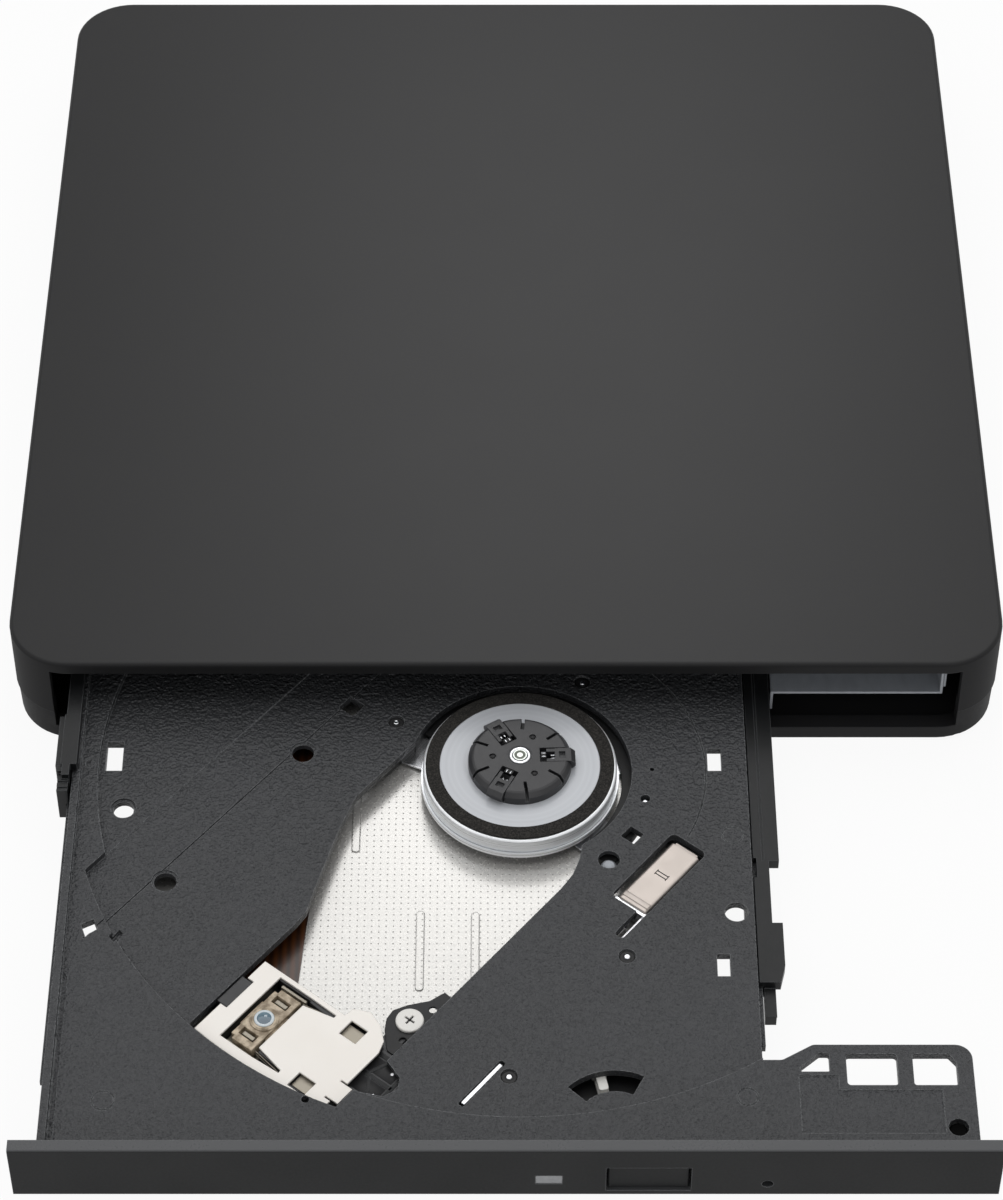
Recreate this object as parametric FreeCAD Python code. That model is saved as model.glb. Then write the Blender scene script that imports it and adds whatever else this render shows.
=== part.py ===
import FreeCAD
import Part

import math
import os

# External disc drive with its tray drawn out, in millimetres, +Z up.
# Origin: on the surface it stands on, under the middle of the whole length (tray front to case rear).
# -Y is the side the tray comes out of, +X is to the right of somebody who faces that side.

# Outer case
CASE_WIDTH = 144.8
CASE_DEPTH = 150.0
CASE_BOTTOM = 0.6
CASE_TOP = 17.6
CASE_SEAM = 6.55
CASE_CORNER = 9.0
CASE_WALL = 1.8
CASE_ROOF = 2.0
CASE_FLOOR = 1.6
LOWER_TAPER = 0.2
SEAM_GAP = 0.12
MOUTH_HALF_WIDTH = 66.1
MOUTH_BOTTOM = 3.3
FEET_RADIUS = 6.0
FEET_HEIGHT = 1.4

# Tray position and travel
TRAY_REACH = 81.8
BEZEL_WIDTH = 130.4
BEZEL_BOTTOM = 4.4
BEZEL_TOP = 14.6
BEZEL_THICK = 1.8

# The whole length and the planes worked out from it
WHOLE_LENGTH = CASE_DEPTH + TRAY_REACH
CASE_REAR = WHOLE_LENGTH / 2
CASE_FRONT = CASE_REAR - CASE_DEPTH
BEZEL_FRONT = -WHOLE_LENGTH / 2
BEZEL_BACK = BEZEL_FRONT + BEZEL_THICK
CASE_HALF = CASE_WIDTH / 2
INNER_HALF = CASE_HALF - CASE_WALL
INNER_REAR = CASE_REAR - CASE_WALL
ROOF_UNDER = CASE_TOP - CASE_ROOF
FLOOR_TOP = CASE_BOTTOM + CASE_FLOOR

# Slim drive shell, sheet steel
SHEET = 0.4
DRIVE_HALF = 64.0
DRIVE_BOTTOM = 4.0
DRIVE_TOP = 13.5
DRIVE_FRONT = CASE_FRONT + 3.3
DRIVE_REAR = 98.0
STEP_X = 38.8
STEP_FLOOR = 7.8
PAN_TOP = DRIVE_BOTTOM + SHEET
LID_UNDER = DRIVE_TOP - SHEET

# Disc seat: the hub axis, and the levels of the tray
HUB_X = 2.0
HUB_Y = -46.5
DISC_RECESS_RADIUS = 60.5
PICKUP_RELIEF_RADIUS = 63.9
RECESS_Z = 8.6
DECK_Z = 9.6
PLATE = 1.2
TRAY_LEFT = -62.0
TRAY_RIGHT = 34.6
TRAY_REAR = HUB_Y + 59.5
TRAY_SKIRT = 4.9
LEFT_WALL_TOP = 10.6
WING_RIGHT = 62.8

# Traverse: u runs from the hub outwards along the pickup's path, v is square to it
TRAVERSE_ANGLE = 231.0
SHAFT_Z = 6.2
MAIN_SHAFT_V = 20.3
MAIN_SHAFT_RADIUS = 0.9
SUB_SHAFT_V = -17.2
SUB_SHAFT_RADIUS = 0.6
SCREW_V = 27.2
SCREW_CORE = 0.85
SCREW_OUTER = 1.1
SCREW_PITCH = 3.0
NUT_U = 44.35
DAMPERS = ((16.5, 32.3), (42.4, 32.3), (4.1, -19.8), (-18.9, -3.5))

# Turntable and hub
BELL_RADIUS = 13.95
BELL_LIP_RADIUS = 14.25
DISC_PLANE = 10.1
PAD_INNER = 11.53
PAD_OUTER = 13.54
HUB_RADIUS = 7.42
HUB_TOP = 12.1
CLAW_ANGLES = (2.0, 122.0, 242.0)

# Slide rails: how far each one stands out of the drive in the pose that is built
RIGHT_RAIL_FRONT = HUB_Y - 42.0
LEFT_RAIL_FRONT = HUB_Y - 6.0
RAIL_LENGTH = 120.0

# Eject lock
LEVER_X = 14.6
LEVER_Y = HUB_Y - 61.0
LEVER_SWING = 20.0
PIN_X = 32.3
PIN_Y = HUB_Y - 59.5 + TRAY_REACH

# Front controls on the bezel, as x and z spans
LIGHT_SPAN = (3.9, 7.4, 7.0, 8.9)
BUTTON_SPAN = (13.5, 24.1, 5.6, 10.3)
BUTTON_SET_BACK = 0.5
PINHOLE = (34.5, 7.0, 0.75)

# Rear socket, the interface board and the plug between it and the drive
SOCKET_X = -20.0
SOCKET_Z = 8.75
BOARD_Z = 6.0
BOARD_THICK = 1.0
BOARD_SCREWS = ((-29.0, 102.0), (29.0, 102.0), (-29.0, 110.5), (29.0, 110.5))
PLUG_HALF = 17.0

# Drive screws in the sides of the chassis, and the height they sit at
SIDE_SCREW_Y = (10.0, 80.0)
SIDE_SCREW_Z = 10.4


def slab(x0, x1, y0, y1, z0, z1):
    return Part.makeBox(x1 - x0, y1 - y0, z1 - z0, FreeCAD.Vector(x0, y0, z0))


def disc(x, y, radius, z0, z1):
    return Part.makeCylinder(radius, z1 - z0, FreeCAD.Vector(x, y, z0))


def ring(x, y, inner, outer, z0, z1):
    return disc(x, y, outer, z0, z1).cut(disc(x, y, inner, z0 - 1, z1 + 1))


def cone(x, y, low_radius, high_radius, z0, z1):
    return Part.makeCone(low_radius, high_radius, z1 - z0, FreeCAD.Vector(x, y, z0))


def rod_x(x0, x1, y, z, radius):
    return Part.makeCylinder(radius, x1 - x0, FreeCAD.Vector(x0, y, z), FreeCAD.Vector(1, 0, 0))


def rod_y(y0, y1, x, z, radius):
    return Part.makeCylinder(radius, y1 - y0, FreeCAD.Vector(x, y0, z), FreeCAD.Vector(0, 1, 0))


def prism(points, z0, z1):
    corners = [FreeCAD.Vector(x, y, z0) for x, y in points]
    corners.append(corners[0])
    face = Part.Face(Part.makePolygon(corners))
    return face.extrude(FreeCAD.Vector(0, 0, z1 - z0))


def profile_y(points, y0, y1):
    corners = [FreeCAD.Vector(x, y0, z) for x, z in points]
    corners.append(corners[0])
    face = Part.Face(Part.makePolygon(corners))
    return face.extrude(FreeCAD.Vector(0, y1 - y0, 0))


def upright_edges(shape, chosen=None):
    found = []
    for edge in shape.Edges:
        start, end = edge.Vertexes[0].Point, edge.Vertexes[-1].Point
        upright = abs(start.x - end.x) < 1e-6 and abs(start.y - end.y) < 1e-6
        if upright and (chosen is None or chosen(start)):
            found.append(edge)
    return found


def rounded(shape, radius, chosen=None):
    return shape.makeFillet(radius, upright_edges(shape, chosen))


def rounded_slab(x0, x1, y0, y1, z0, z1, radius):
    return rounded(slab(x0, x1, y0, y1, z0, z1), radius)


def level_edges(shape, z):
    return [edge for edge in shape.Edges if all(abs(v.Z - z) < 1e-6 for v in edge.Vertexes)
            and abs(edge.BoundBox.ZLength) < 1e-6]


def joined(*shapes):
    return shapes[0].fuse(list(shapes[1:])).removeSplitter()


def without(shape, *tools):
    return shape.cut(list(tools))


def group(shapes):
    return Part.makeCompound(list(shapes))


def from_hub(points):
    return [(x, HUB_Y + y) for x, y in points]


def on_traverse(shape):
    placed = shape.copy()
    placed.rotate(FreeCAD.Vector(0, 0, 0), FreeCAD.Vector(0, 0, 1), TRAVERSE_ANGLE)
    placed.translate(FreeCAD.Vector(HUB_X, HUB_Y, 0))
    return placed


def traverse_point(u, v):
    turn = math.radians(TRAVERSE_ANGLE)
    return (HUB_X + u * math.cos(turn) - v * math.sin(turn),
            HUB_Y + u * math.sin(turn) + v * math.cos(turn))


# Case

def case_plan(inset, z0, z1):
    return rounded_slab(-CASE_HALF + inset, CASE_HALF - inset, CASE_FRONT + inset, CASE_REAR - inset,
                        z0, z1, CASE_CORNER - inset)


CASE_SCREWS = ((-67.0, -14.0), (67.0, -14.0), (-67.0, 100.0), (67.0, 100.0))


def mouth(z0, z1):
    return slab(-MOUTH_HALF_WIDTH, MOUTH_HALF_WIDTH, CASE_FRONT - 1, CASE_FRONT + 4, z0, z1)


def socket_slot(grow):
    half_w, half_h = 4.5 + grow, 1.65 + grow
    bar = slab(SOCKET_X - half_w + half_h, SOCKET_X + half_w - half_h, INNER_REAR - 8, CASE_REAR + 1,
               SOCKET_Z - half_h, SOCKET_Z + half_h)
    ends = [rod_y(INNER_REAR - 8, CASE_REAR + 1, x, SOCKET_Z, half_h)
            for x in (SOCKET_X - half_w + half_h, SOCKET_X + half_w - half_h)]
    return joined(bar, *ends)


def top_cover():
    body = case_plan(0, CASE_SEAM, CASE_TOP)
    body = body.makeFillet(0.6, level_edges(body, CASE_TOP))
    shell = without(body, case_plan(CASE_WALL, CASE_SEAM - 1, ROOF_UNDER), mouth(CASE_SEAM - 1,
                                                                                 ROOF_UNDER))
    bosses = [disc(x, y, 2.1, DRIVE_BOTTOM + 0.1, ROOF_UNDER) for x, y in CASE_SCREWS]
    webs = [slab(min(x, s * INNER_HALF), max(x, s * INNER_HALF), y - 0.5, y + 0.5, 8.0, ROOF_UNDER)
            for (x, y), s in zip(CASE_SCREWS, (-1, 1, -1, 1))]
    ribs = [slab(-58, 58, y, y + 1.2, DRIVE_TOP, ROOF_UNDER) for y in (8, 40, 72)]
    shell = joined(shell, *bosses, *webs, *ribs)
    pilots = [disc(x, y, 1.1, DRIVE_BOTTOM, 11.0) for x, y in CASE_SCREWS]
    return without(shell, socket_slot(0.25), *pilots)


def lower_body():
    def outline(inset, z):
        return case_plan(inset, z, z + 1).Faces
    bottom = [f for f in outline(LOWER_TAPER + 0.2,
                                 CASE_BOTTOM) if abs(f.BoundBox.ZMax - CASE_BOTTOM) < 1e-6][0]
    top_z = CASE_SEAM - SEAM_GAP
    top = [f for f in outline(0.2, top_z) if abs(f.BoundBox.ZMax - top_z) < 1e-6][0]
    body = Part.makeLoft([bottom.OuterWire, top.OuterWire], True, True)
    return body.makeFillet(0.5, level_edges(body, CASE_BOTTOM))


def bottom_cover():
    body = lower_body()
    top_z = CASE_SEAM - SEAM_GAP
    hollow = case_plan(CASE_WALL + 0.9, FLOOR_TOP, CASE_TOP)
    shell = without(body, hollow)
    lip = without(case_plan(CASE_WALL + 0.1, top_z - 0.6, CASE_SEAM + 0.9), hollow)
    supports = [slab(-60, 36, y, y + 1.2, FLOOR_TOP, DRIVE_BOTTOM) for y in (-8, 24, 56, 88)]
    high_supports = [slab(42, 61, y, y + 1.2, FLOOR_TOP, STEP_FLOOR - SHEET) for y in (-4, 40, 84)]
    standoffs = [disc(x, y, 2.1, FLOOR_TOP, DRIVE_BOTTOM) for x, y in CASE_SCREWS]
    posts = [disc(x, y, 1.8, FLOOR_TOP, BOARD_Z) for x, y in BOARD_SCREWS]
    shell = joined(shell, lip, *supports, *high_supports, *standoffs, *posts)
    holes = [disc(x, y, 1.25, 0, DRIVE_BOTTOM + 1) for x, y in CASE_SCREWS]
    holes += [disc(x, y, 0.95, FLOOR_TOP + 0.8, BOARD_Z + 1) for x, y in BOARD_SCREWS]
    sinks = [disc(x, y, 2.3, 0, CASE_BOTTOM + 1.1) for x, y in CASE_SCREWS]
    seats = [disc(x, y, FEET_RADIUS + 0.1, 0, FEET_HEIGHT) for x, y in FEET]
    vents = [rounded_slab(x, x + 1.4, 60, 78, 0, FLOOR_TOP + 0.5, 0.6) for x in range(-20, 24, 5)]
    return without(shell, mouth(MOUTH_BOTTOM, CASE_TOP), socket_slot(0.25), *holes, *sinks, *seats,
                   *vents)


FEET = ((-56.0, -20.0), (56.0, -20.0), (-56.0, 102.0), (56.0, 102.0))


def rubber_feet():
    feet = []
    for x, y in FEET:
        foot = disc(x, y, FEET_RADIUS, 0, FEET_HEIGHT)
        feet.append(foot.makeFillet(0.3, level_edges(foot, 0)))
    return group(feet)


def case_screws():
    screws = []
    for x, y in CASE_SCREWS:
        head = disc(x, y, 2.1, CASE_BOTTOM + 0.15, CASE_BOTTOM + 1.1)
        cross = joined(slab(x - 1.2, x + 1.2, y - 0.25, y + 0.25, 0, 1.6), slab(x - 0.25, x + 0.25,
                                                                                y - 1.2, y + 1.2, 0, 1.6))
        screws.append(without(joined(head, disc(x, y, 1.1, CASE_BOTTOM + 1, 10.5)), cross))
    return group(screws)


# Electronics at the rear of the case

def interface_board():
    board = slab(-32, 32, 100.2, 113.0, BOARD_Z, BOARD_Z + BOARD_THICK)
    return without(board, *[disc(x, y, 0.95, BOARD_Z - 1, BOARD_Z + 2) for x, y in BOARD_SCREWS])


def board_components():
    top = BOARD_Z + BOARD_THICK
    parts = [slab(-5, 4, 104.6, 112.2, top, top + 1.0), slab(8, 12.5, 106, 110, top, top + 1.2)]
    parts += [slab(15 + 2.2 * i, 16.2 + 2.2 * i, y, y + 2, top,
                   top + 0.6) for i in range(4) for y in (105, 109)]
    parts.append(disc(-10.5, 107.5, 1.6, top, top + 2.2))
    parts.append(board_connector())
    parts.append(usb_tongue())
    return group(parts)


def usb_socket():
    y0 = 107.6
    outer = socket_slot(0).common(slab(SOCKET_X - 9, SOCKET_X + 9, y0, CASE_REAR - 0.3, 0, 20))
    inner = socket_slot(-0.3).common(slab(SOCKET_X - 9, SOCKET_X + 9, y0 + 0.6, CASE_REAR + 2, 0, 20))
    top = BOARD_Z + BOARD_THICK
    legs = [slab(SOCKET_X + s * 4.2 - 0.4, SOCKET_X + s * 4.2 + 0.4, y0 + 1, y0 + 3, top,
                 SOCKET_Z) for s in (-1, 1)]
    return without(joined(outer, *legs), inner)


def usb_tongue():
    return slab(SOCKET_X - 3.3, SOCKET_X + 3.3, 108.2, CASE_REAR - 1.6, SOCKET_Z - 0.35, SOCKET_Z + 0.35)


def drive_connectors():
    y0 = DRIVE_REAR - 2.6
    body = slab(-PLUG_HALF, PLUG_HALF, y0, DRIVE_REAR + 2.0, 5.0, 9.4)
    body = without(body, slab(1.5 - PLUG_HALF, PLUG_HALF - 1.5, DRIVE_REAR + 0.6, DRIVE_REAR + 3, 6.0,
                              8.4))
    flex_clamp = slab(-35, -25.5, DRIVE_REAR - 3, DRIVE_REAR - SHEET, PAN_TOP, 6.2)
    return group([body, flex_clamp.cut(slab(-34.1, -25.9, y0 - 1, DRIVE_REAR - 1.5, 4, PAN_TOP + 0.16))])


def board_connector():
    body = slab(-PLUG_HALF, PLUG_HALF, DRIVE_REAR + 2.0, 104.0, BOARD_Z + BOARD_THICK, 9.4)
    tongue = slab(1.8 - PLUG_HALF, PLUG_HALF - 1.8, DRIVE_REAR + 0.8, DRIVE_REAR + 2.0, 7.0, 8.0)
    return joined(body, tongue)


# Drive shell

def drive_chassis():
    front, rear = DRIVE_FRONT, DRIVE_REAR
    low = slab(-DRIVE_HALF, STEP_X + SHEET, front, rear, DRIVE_BOTTOM, PAN_TOP)
    step = slab(STEP_X, STEP_X + SHEET, front, rear, DRIVE_BOTTOM, STEP_FLOOR)
    high = slab(STEP_X, DRIVE_HALF, front, rear, STEP_FLOOR - SHEET, STEP_FLOOR)
    left = slab(-DRIVE_HALF, -DRIVE_HALF + SHEET, front, rear, DRIVE_BOTTOM, LID_UNDER)
    right = slab(DRIVE_HALF - SHEET, DRIVE_HALF, front, rear, STEP_FLOOR - SHEET, LID_UNDER)
    back = slab(-DRIVE_HALF, DRIVE_HALF, rear - SHEET, rear, STEP_FLOOR - SHEET, LID_UNDER)
    low_back = slab(-DRIVE_HALF, STEP_X + SHEET, rear - SHEET, rear, DRIVE_BOTTOM, LID_UNDER)
    beads = [rounded_slab(x, x + 2.0, 5, 85, PAN_TOP, PAN_TOP + 0.12, 0.9) for x in (-44, -12, 18)]
    shell = joined(low, step, high, left, right, back, low_back, *beads)
    rail_notch = slab(-DRIVE_HALF - 1, -DRIVE_HALF + SHEET, front - 1, front + 24.5, PAN_TOP,
                      LID_UNDER + 1)
    plug_hole = slab(-PLUG_HALF, PLUG_HALF, rear - 1, rear + 1, 5.0, 9.4)
    side_holes = [rod_x(-DRIVE_HALF - 1, DRIVE_HALF + 1, y, SIDE_SCREW_Z, 0.8) for y in SIDE_SCREW_Y]
    floor_holes = [disc(x, y, 1.4, 0, 10) for x, y in ((-52, 20), (-52, 90), (-30, 50), (6, 50))]
    return without(shell, rail_notch, plug_hole, disc(PIN_X, PIN_Y, 0.8, 3, 5), *side_holes, *floor_holes)


def drive_lid():
    reach = DRIVE_HALF + 0.35
    plate = slab(-reach, reach, DRIVE_FRONT, DRIVE_REAR, LID_UNDER, DRIVE_TOP)
    right = slab(DRIVE_HALF + 0.05, reach, DRIVE_FRONT, DRIVE_REAR - 1, 9.0, DRIVE_TOP)
    left = slab(-reach, -DRIVE_HALF - 0.05, DRIVE_FRONT + 26, DRIVE_REAR - 1, 9.0, DRIVE_TOP)
    side_holes = [rod_x(-reach - 1, reach + 1, y, SIDE_SCREW_Z, 0.8) for y in SIDE_SCREW_Y]
    return without(joined(plate, right, left), *side_holes)


def small_screws():
    screws = [joined(disc(x, y, 1.7, BOARD_Z + BOARD_THICK, BOARD_Z + 1.8), disc(x, y, 0.95, 4.0,
                                                                                 BOARD_Z + 1.2))
              for x, y in BOARD_SCREWS]
    inner, face, crown = DRIVE_HALF - 0.45, DRIVE_HALF + 0.35, DRIVE_HALF + 0.85
    for y in SIDE_SCREW_Y:
        screws.append(joined(rod_x(face, crown, y, SIDE_SCREW_Z, 1.6), rod_x(inner, face, y, SIDE_SCREW_Z,
                                                                             0.8)))
        screws.append(joined(rod_x(-crown, -face, y, SIDE_SCREW_Z, 1.6), rod_x(-face, -inner, y,
                                                                               SIDE_SCREW_Z, 0.8)))
    return group(screws)


def lock_pin():
    return joined(disc(PIN_X, PIN_Y, 0.8, DRIVE_BOTTOM, 6.6), disc(PIN_X, PIN_Y, 1.5, DRIVE_BOTTOM - 0.4,
                                                                   DRIVE_BOTTOM))


# Slide rails and their fixed guides

def right_guide_rail():
    return slab(37.25, STEP_X - 0.05, DRIVE_FRONT + 0.6, DRIVE_REAR - 2, PAN_TOP, 6.2)


def left_guide_rail():
    base = slab(-63.6, -61.6, DRIVE_FRONT + 0.6, DRIVE_REAR - 2, PAN_TOP, PAN_TOP + 0.2)
    cheek = slab(-62.1, -61.6, DRIVE_FRONT + 0.6, DRIVE_REAR - 2, PAN_TOP, 5.2)
    return joined(base, cheek)


def right_slide_rail():
    front, rear = RIGHT_RAIL_FRONT, RIGHT_RAIL_FRONT + RAIL_LENGTH
    section = [(34.85, 8.1), (34.85, 7.0), (35.5, 7.0), (35.5, 5.3), (34.85, 5.3), (34.85, 4.7),
               (37.05, 4.7), (37.05, 6.4), (38.5, 6.4), (38.5, 8.1)]
    bar = profile_y(section, front, rear)
    nose_end = front + 4.75
    nose_side = slab(37.1, 40, front - 1, nose_end, 4, 9)
    nose_top = slab(34, 40, front - 1, nose_end, 6.7, 9)
    nose_inside = slab(34, 35.5, front - 1, nose_end, 4, 9)
    corner = prism([(37.6, nose_end - 1), (40, nose_end - 1), (40, nose_end + 2.9), (38.5, nose_end + 2.9),
                    (37.8, nose_end)], 4, 9)
    waist = slab(37.05, 40, front + 15.0, front + 25.95, 4, 9)
    notch = slab(34, 35.3, front + 23.0, front + 26.5, 6.9, 9)
    ledge = slab(36.1, 36.4, front + 26, rear - 6, 7.9, 9)
    return without(bar, nose_side, nose_top, nose_inside, corner, waist, notch, ledge)


def left_slide_rail():
    front, rear = LEFT_RAIL_FRONT, LEFT_RAIL_FRONT + RAIL_LENGTH
    head_front, head_rear = front + 4.2, front + 13.4
    web = slab(-63.35, -62.25, front + 2.2, rear, 4.7, 12.4)
    toe = slab(-63.95, -62.4, front, front + 3.2, 5.4, 11.4)
    toe = without(toe, *[slab(-65, -61, front + y, front + y + 0.35, 11.15, 12) for y in (0.4, 1.5)])
    step = slab(-64.15, -62.3, front + 3.2, head_front, 5.6, 12.0)
    head = slab(-64.35, -61.3, head_front, head_rear, 10.85, 12.4)
    heel = slab(-64.35, -62.3, head_front, head_rear, 6.0, 10.85)
    lip = slab(-63.35, -61.3, head_rear, rear, 11.4, 12.4)
    groove = slab(-62.75, -62.0, front - 1, rear + 1, 7.35, 8.45)
    bar = joined(web, toe, step, head, heel, lip)
    shoulder = slab(-64.4, -63.6, head_front, head_rear, 11.9, 13)
    return without(bar, groove, shoulder)


# Tray

def tray_outline(z0, z1):
    front, back = BEZEL_BACK - HUB_Y, TRAY_REAR - HUB_Y
    corners = [(TRAY_LEFT, back), (TRAY_LEFT, front), (WING_RIGHT, front), (WING_RIGHT, -48.8),
               (41.4, -48.8), (37.2, -51.3), (TRAY_RIGHT, -51.3), (TRAY_RIGHT, back)]
    plate = prism(from_hub(corners), z0, z1)
    plate = rounded(plate, 2.3, lambda p: p.x > 60 and p.y > HUB_Y - 50)
    return rounded(plate, 1.2, lambda p: 36 < p.x < 42)


def half_plane(v_min, v_max, z0, z1):
    return on_traverse(slab(-20, 75, v_min, v_max, z0, z1))


def traverse_opening():
    edge = [(0, -15.3), (18.5, -15.2), (24, -13.4), (35, -8.8), (38.5, -7.2), (41, -6.95), (70, -6.95),
            (70, 17.4),
            (60.4, 17.4), (57.0, 18.2), (55.6, 21.2), (53.5, 22.0), (51.8, 21.0), (50.8, 17.9), (13.0, 17.9),
            (10.0, 17.6), (7.4, 16.7), (4.8, 15.2), (0, 0)]
    path = on_traverse(prism(edge, 4, 12))
    path = path.common(disc(HUB_X, HUB_Y, PICKUP_RELIEF_RADIUS, 4, 12))
    return joined(path, disc(HUB_X, HUB_Y, 16.1, 4, 12))


def wing_windows():
    near = prism(from_hub([(39.5, -53.2), (39.5, -52.5), (42.2, -50.15), (43.5, -50.15), (43.5, -53.2)]),
                 7, 11)
    middle = rounded_slab(45.75, 52.6, HUB_Y - 55.4, HUB_Y - 50.3, 7, 11, 0.5)
    far = prism(from_hub([(54.7, -50.3), (54.7, -55.4), (60.6, -55.4), (60.6, -51.6), (59.6, -50.3)]), 7,
                11)
    return [rounded(near, 0.3), middle, rounded(far, 0.4)]


def arc_window():
    centre_x, centre_y = LEVER_X, LEVER_Y
    band = ring(centre_x, centre_y, 5.3, 8.7, 4, 12)
    wedge = prism([(centre_x, centre_y), (centre_x - 9.5, centre_y + 9.0), (centre_x, centre_y + 14),
                   (centre_x + 6.2, centre_y + 12.0)], 4, 12)
    return band.common(wedge)


def feed_windows():
    motor = on_traverse(rounded_slab(-4.8, 9.5, 24.0, 30.0, 4, 12, 0.9))
    leg = on_traverse(rounded_slab(8.6, 14.6, 28.5, 29.95, 4, 12, 0.5))
    screw = on_traverse(rounded_slab(41.0, 50.2, 29.75, 30.65, 4, 12, 0.3))
    return [motor, leg, screw]


ROUND_HOLES = ((-29.3, 3.5, 1.6), (-54.5, -7.0, 1.5), (-47.8, -20.0, 1.6), (19.9, -5.1, 0.7), (14.5, -16.2, 1.55),
               (32.1, -25.5, 1.65), (60.1, -62.2, 1.35), (21.0, 0.3, 0.35), (-26.8, -57.7, 0.55))
TILTED_SQUARES = ((-22.5, 12.2, 2.7), (17.9, -11.8, 2.3))
STRAIGHT_SLOTS = ((-57.6, -55.2, -0.1, 5.3), (29.0, 31.0, 0.0, 4.2), (29.1, 30.9, -36.6, -32.8))
DIMPLES = ((32.1, -11.8, 1.55, RECESS_Z), (32.3, -57.3, 1.45, DECK_Z), (-53.8, -57.9, 1.6, DECK_Z),
           (-59.6, 0.6, 0.8, DECK_Z))


def tray_holes():
    tools = [disc(x, HUB_Y + y, r, 4, 12) for x, y, r in ROUND_HOLES]
    tools += [disc(x, HUB_Y + y, r + 0.3, RECESS_Z - 0.3, 12) for x, y, r in ROUND_HOLES[:3]]
    for x, y, size in TILTED_SQUARES:
        u, v = traverse_uv(x, y)
        tools.append(on_traverse(slab(u - size / 2, u + size / 2, v - size / 2, v + size / 2, 4, 12)))
    tools += [slab(x0, x1, HUB_Y + y0, HUB_Y + y1, 4, 12) for x0, x1, y0, y1 in STRAIGHT_SLOTS]
    for x, y, radius, level in DIMPLES:
        tools.append(ring(x, HUB_Y + y, radius - 0.18, radius, level - 0.12, level + 1))
    for u, v in DAMPERS:
        x, y = traverse_point(u, v)
        tools.append(disc(x, y, 0.82, 4, 12))
        tools.append(disc(x, y, 1.2, 8.25, 12))
    return tools


def traverse_uv(x, y):
    turn = math.radians(TRAVERSE_ANGLE)
    dx = x - HUB_X
    return dx * math.cos(turn) + y * math.sin(turn), -dx * math.sin(turn) + y * math.cos(turn)


def tray_fine_lines():
    raised_sector = on_traverse(slab(-80, 70, -75, -35.6, RECESS_Z, 12))
    main_floor = disc(HUB_X, HUB_Y, DISC_RECESS_RADIUS, RECESS_Z, 12).cut(raised_sector)
    line = on_traverse(slab(-12, 62, -27.7, -27.5, RECESS_Z - 0.3, 12))
    arc = ring(HUB_X, HUB_Y, 26.6, 26.8, RECESS_Z - 0.3, 12)
    arc = arc.common(slab(HUB_X + 18, 60, HUB_Y - 12, HUB_Y + 20, 0, 12))
    hook = prism(from_hub([(-58.9, -28.4), (-57.2, -27.5), (-56.5, -29.2), (-58.2, -30.4)]),
                 RECESS_Z - 0.4, 12)
    notch = prism(from_hub([(-54.9, -30.4), (-53.6, -28.6), (-53.1, -29.3), (-54.1, -31.6)]),
                  RECESS_Z - 0.5, 12)
    panel = prism(from_hub([(39.3, -53.8), (39.3, -63.1), (58.4, -63.1), (58.4, -56.2), (44.6, -56.2),
                            (44.6, -53.8)]),
                  DECK_Z - 0.15, 12)
    strip = prism(from_hub([(TRAY_LEFT + 1.2, -36.3), (TRAY_LEFT + 1.2, -67), (-60.1, -67), (-60.1, -37.4)]),
                  DECK_Z - 0.25, 12)
    return [main_floor, line, arc, hook, notch, panel, strip]


def tray_plate():
    deck = tray_outline(DECK_Z - PLATE, DECK_Z)
    left_wall = slab(TRAY_LEFT, TRAY_LEFT + 1.1, BEZEL_BACK, TRAY_REAR, 5.4, LEFT_WALL_TOP)
    floor = tray_outline(RECESS_Z - PLATE, RECESS_Z + 0.15)
    relief = disc(HUB_X, HUB_Y, PICKUP_RELIEF_RADIUS + PLATE, 0, 20).common(half_plane(-35.6, 18.5, 0,
                                                                                       20))
    under = joined(disc(HUB_X, HUB_Y, DISC_RECESS_RADIUS + PLATE, 0, 20), relief)
    recess = disc(HUB_X, HUB_Y, DISC_RECESS_RADIUS, RECESS_Z + 0.15, 20)
    pickup_room = disc(HUB_X, HUB_Y, PICKUP_RELIEF_RADIUS, RECESS_Z, 20).common(half_plane(-35.6, 17.9, 0,
                                                                                           20))
    pickup_room = pickup_room.cut(slab(-70, TRAY_LEFT + 1.1, -200, 50, 0, 20))
    plate = joined(deck, left_wall, floor.common(under))
    return without(plate, recess, pickup_room)


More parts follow.
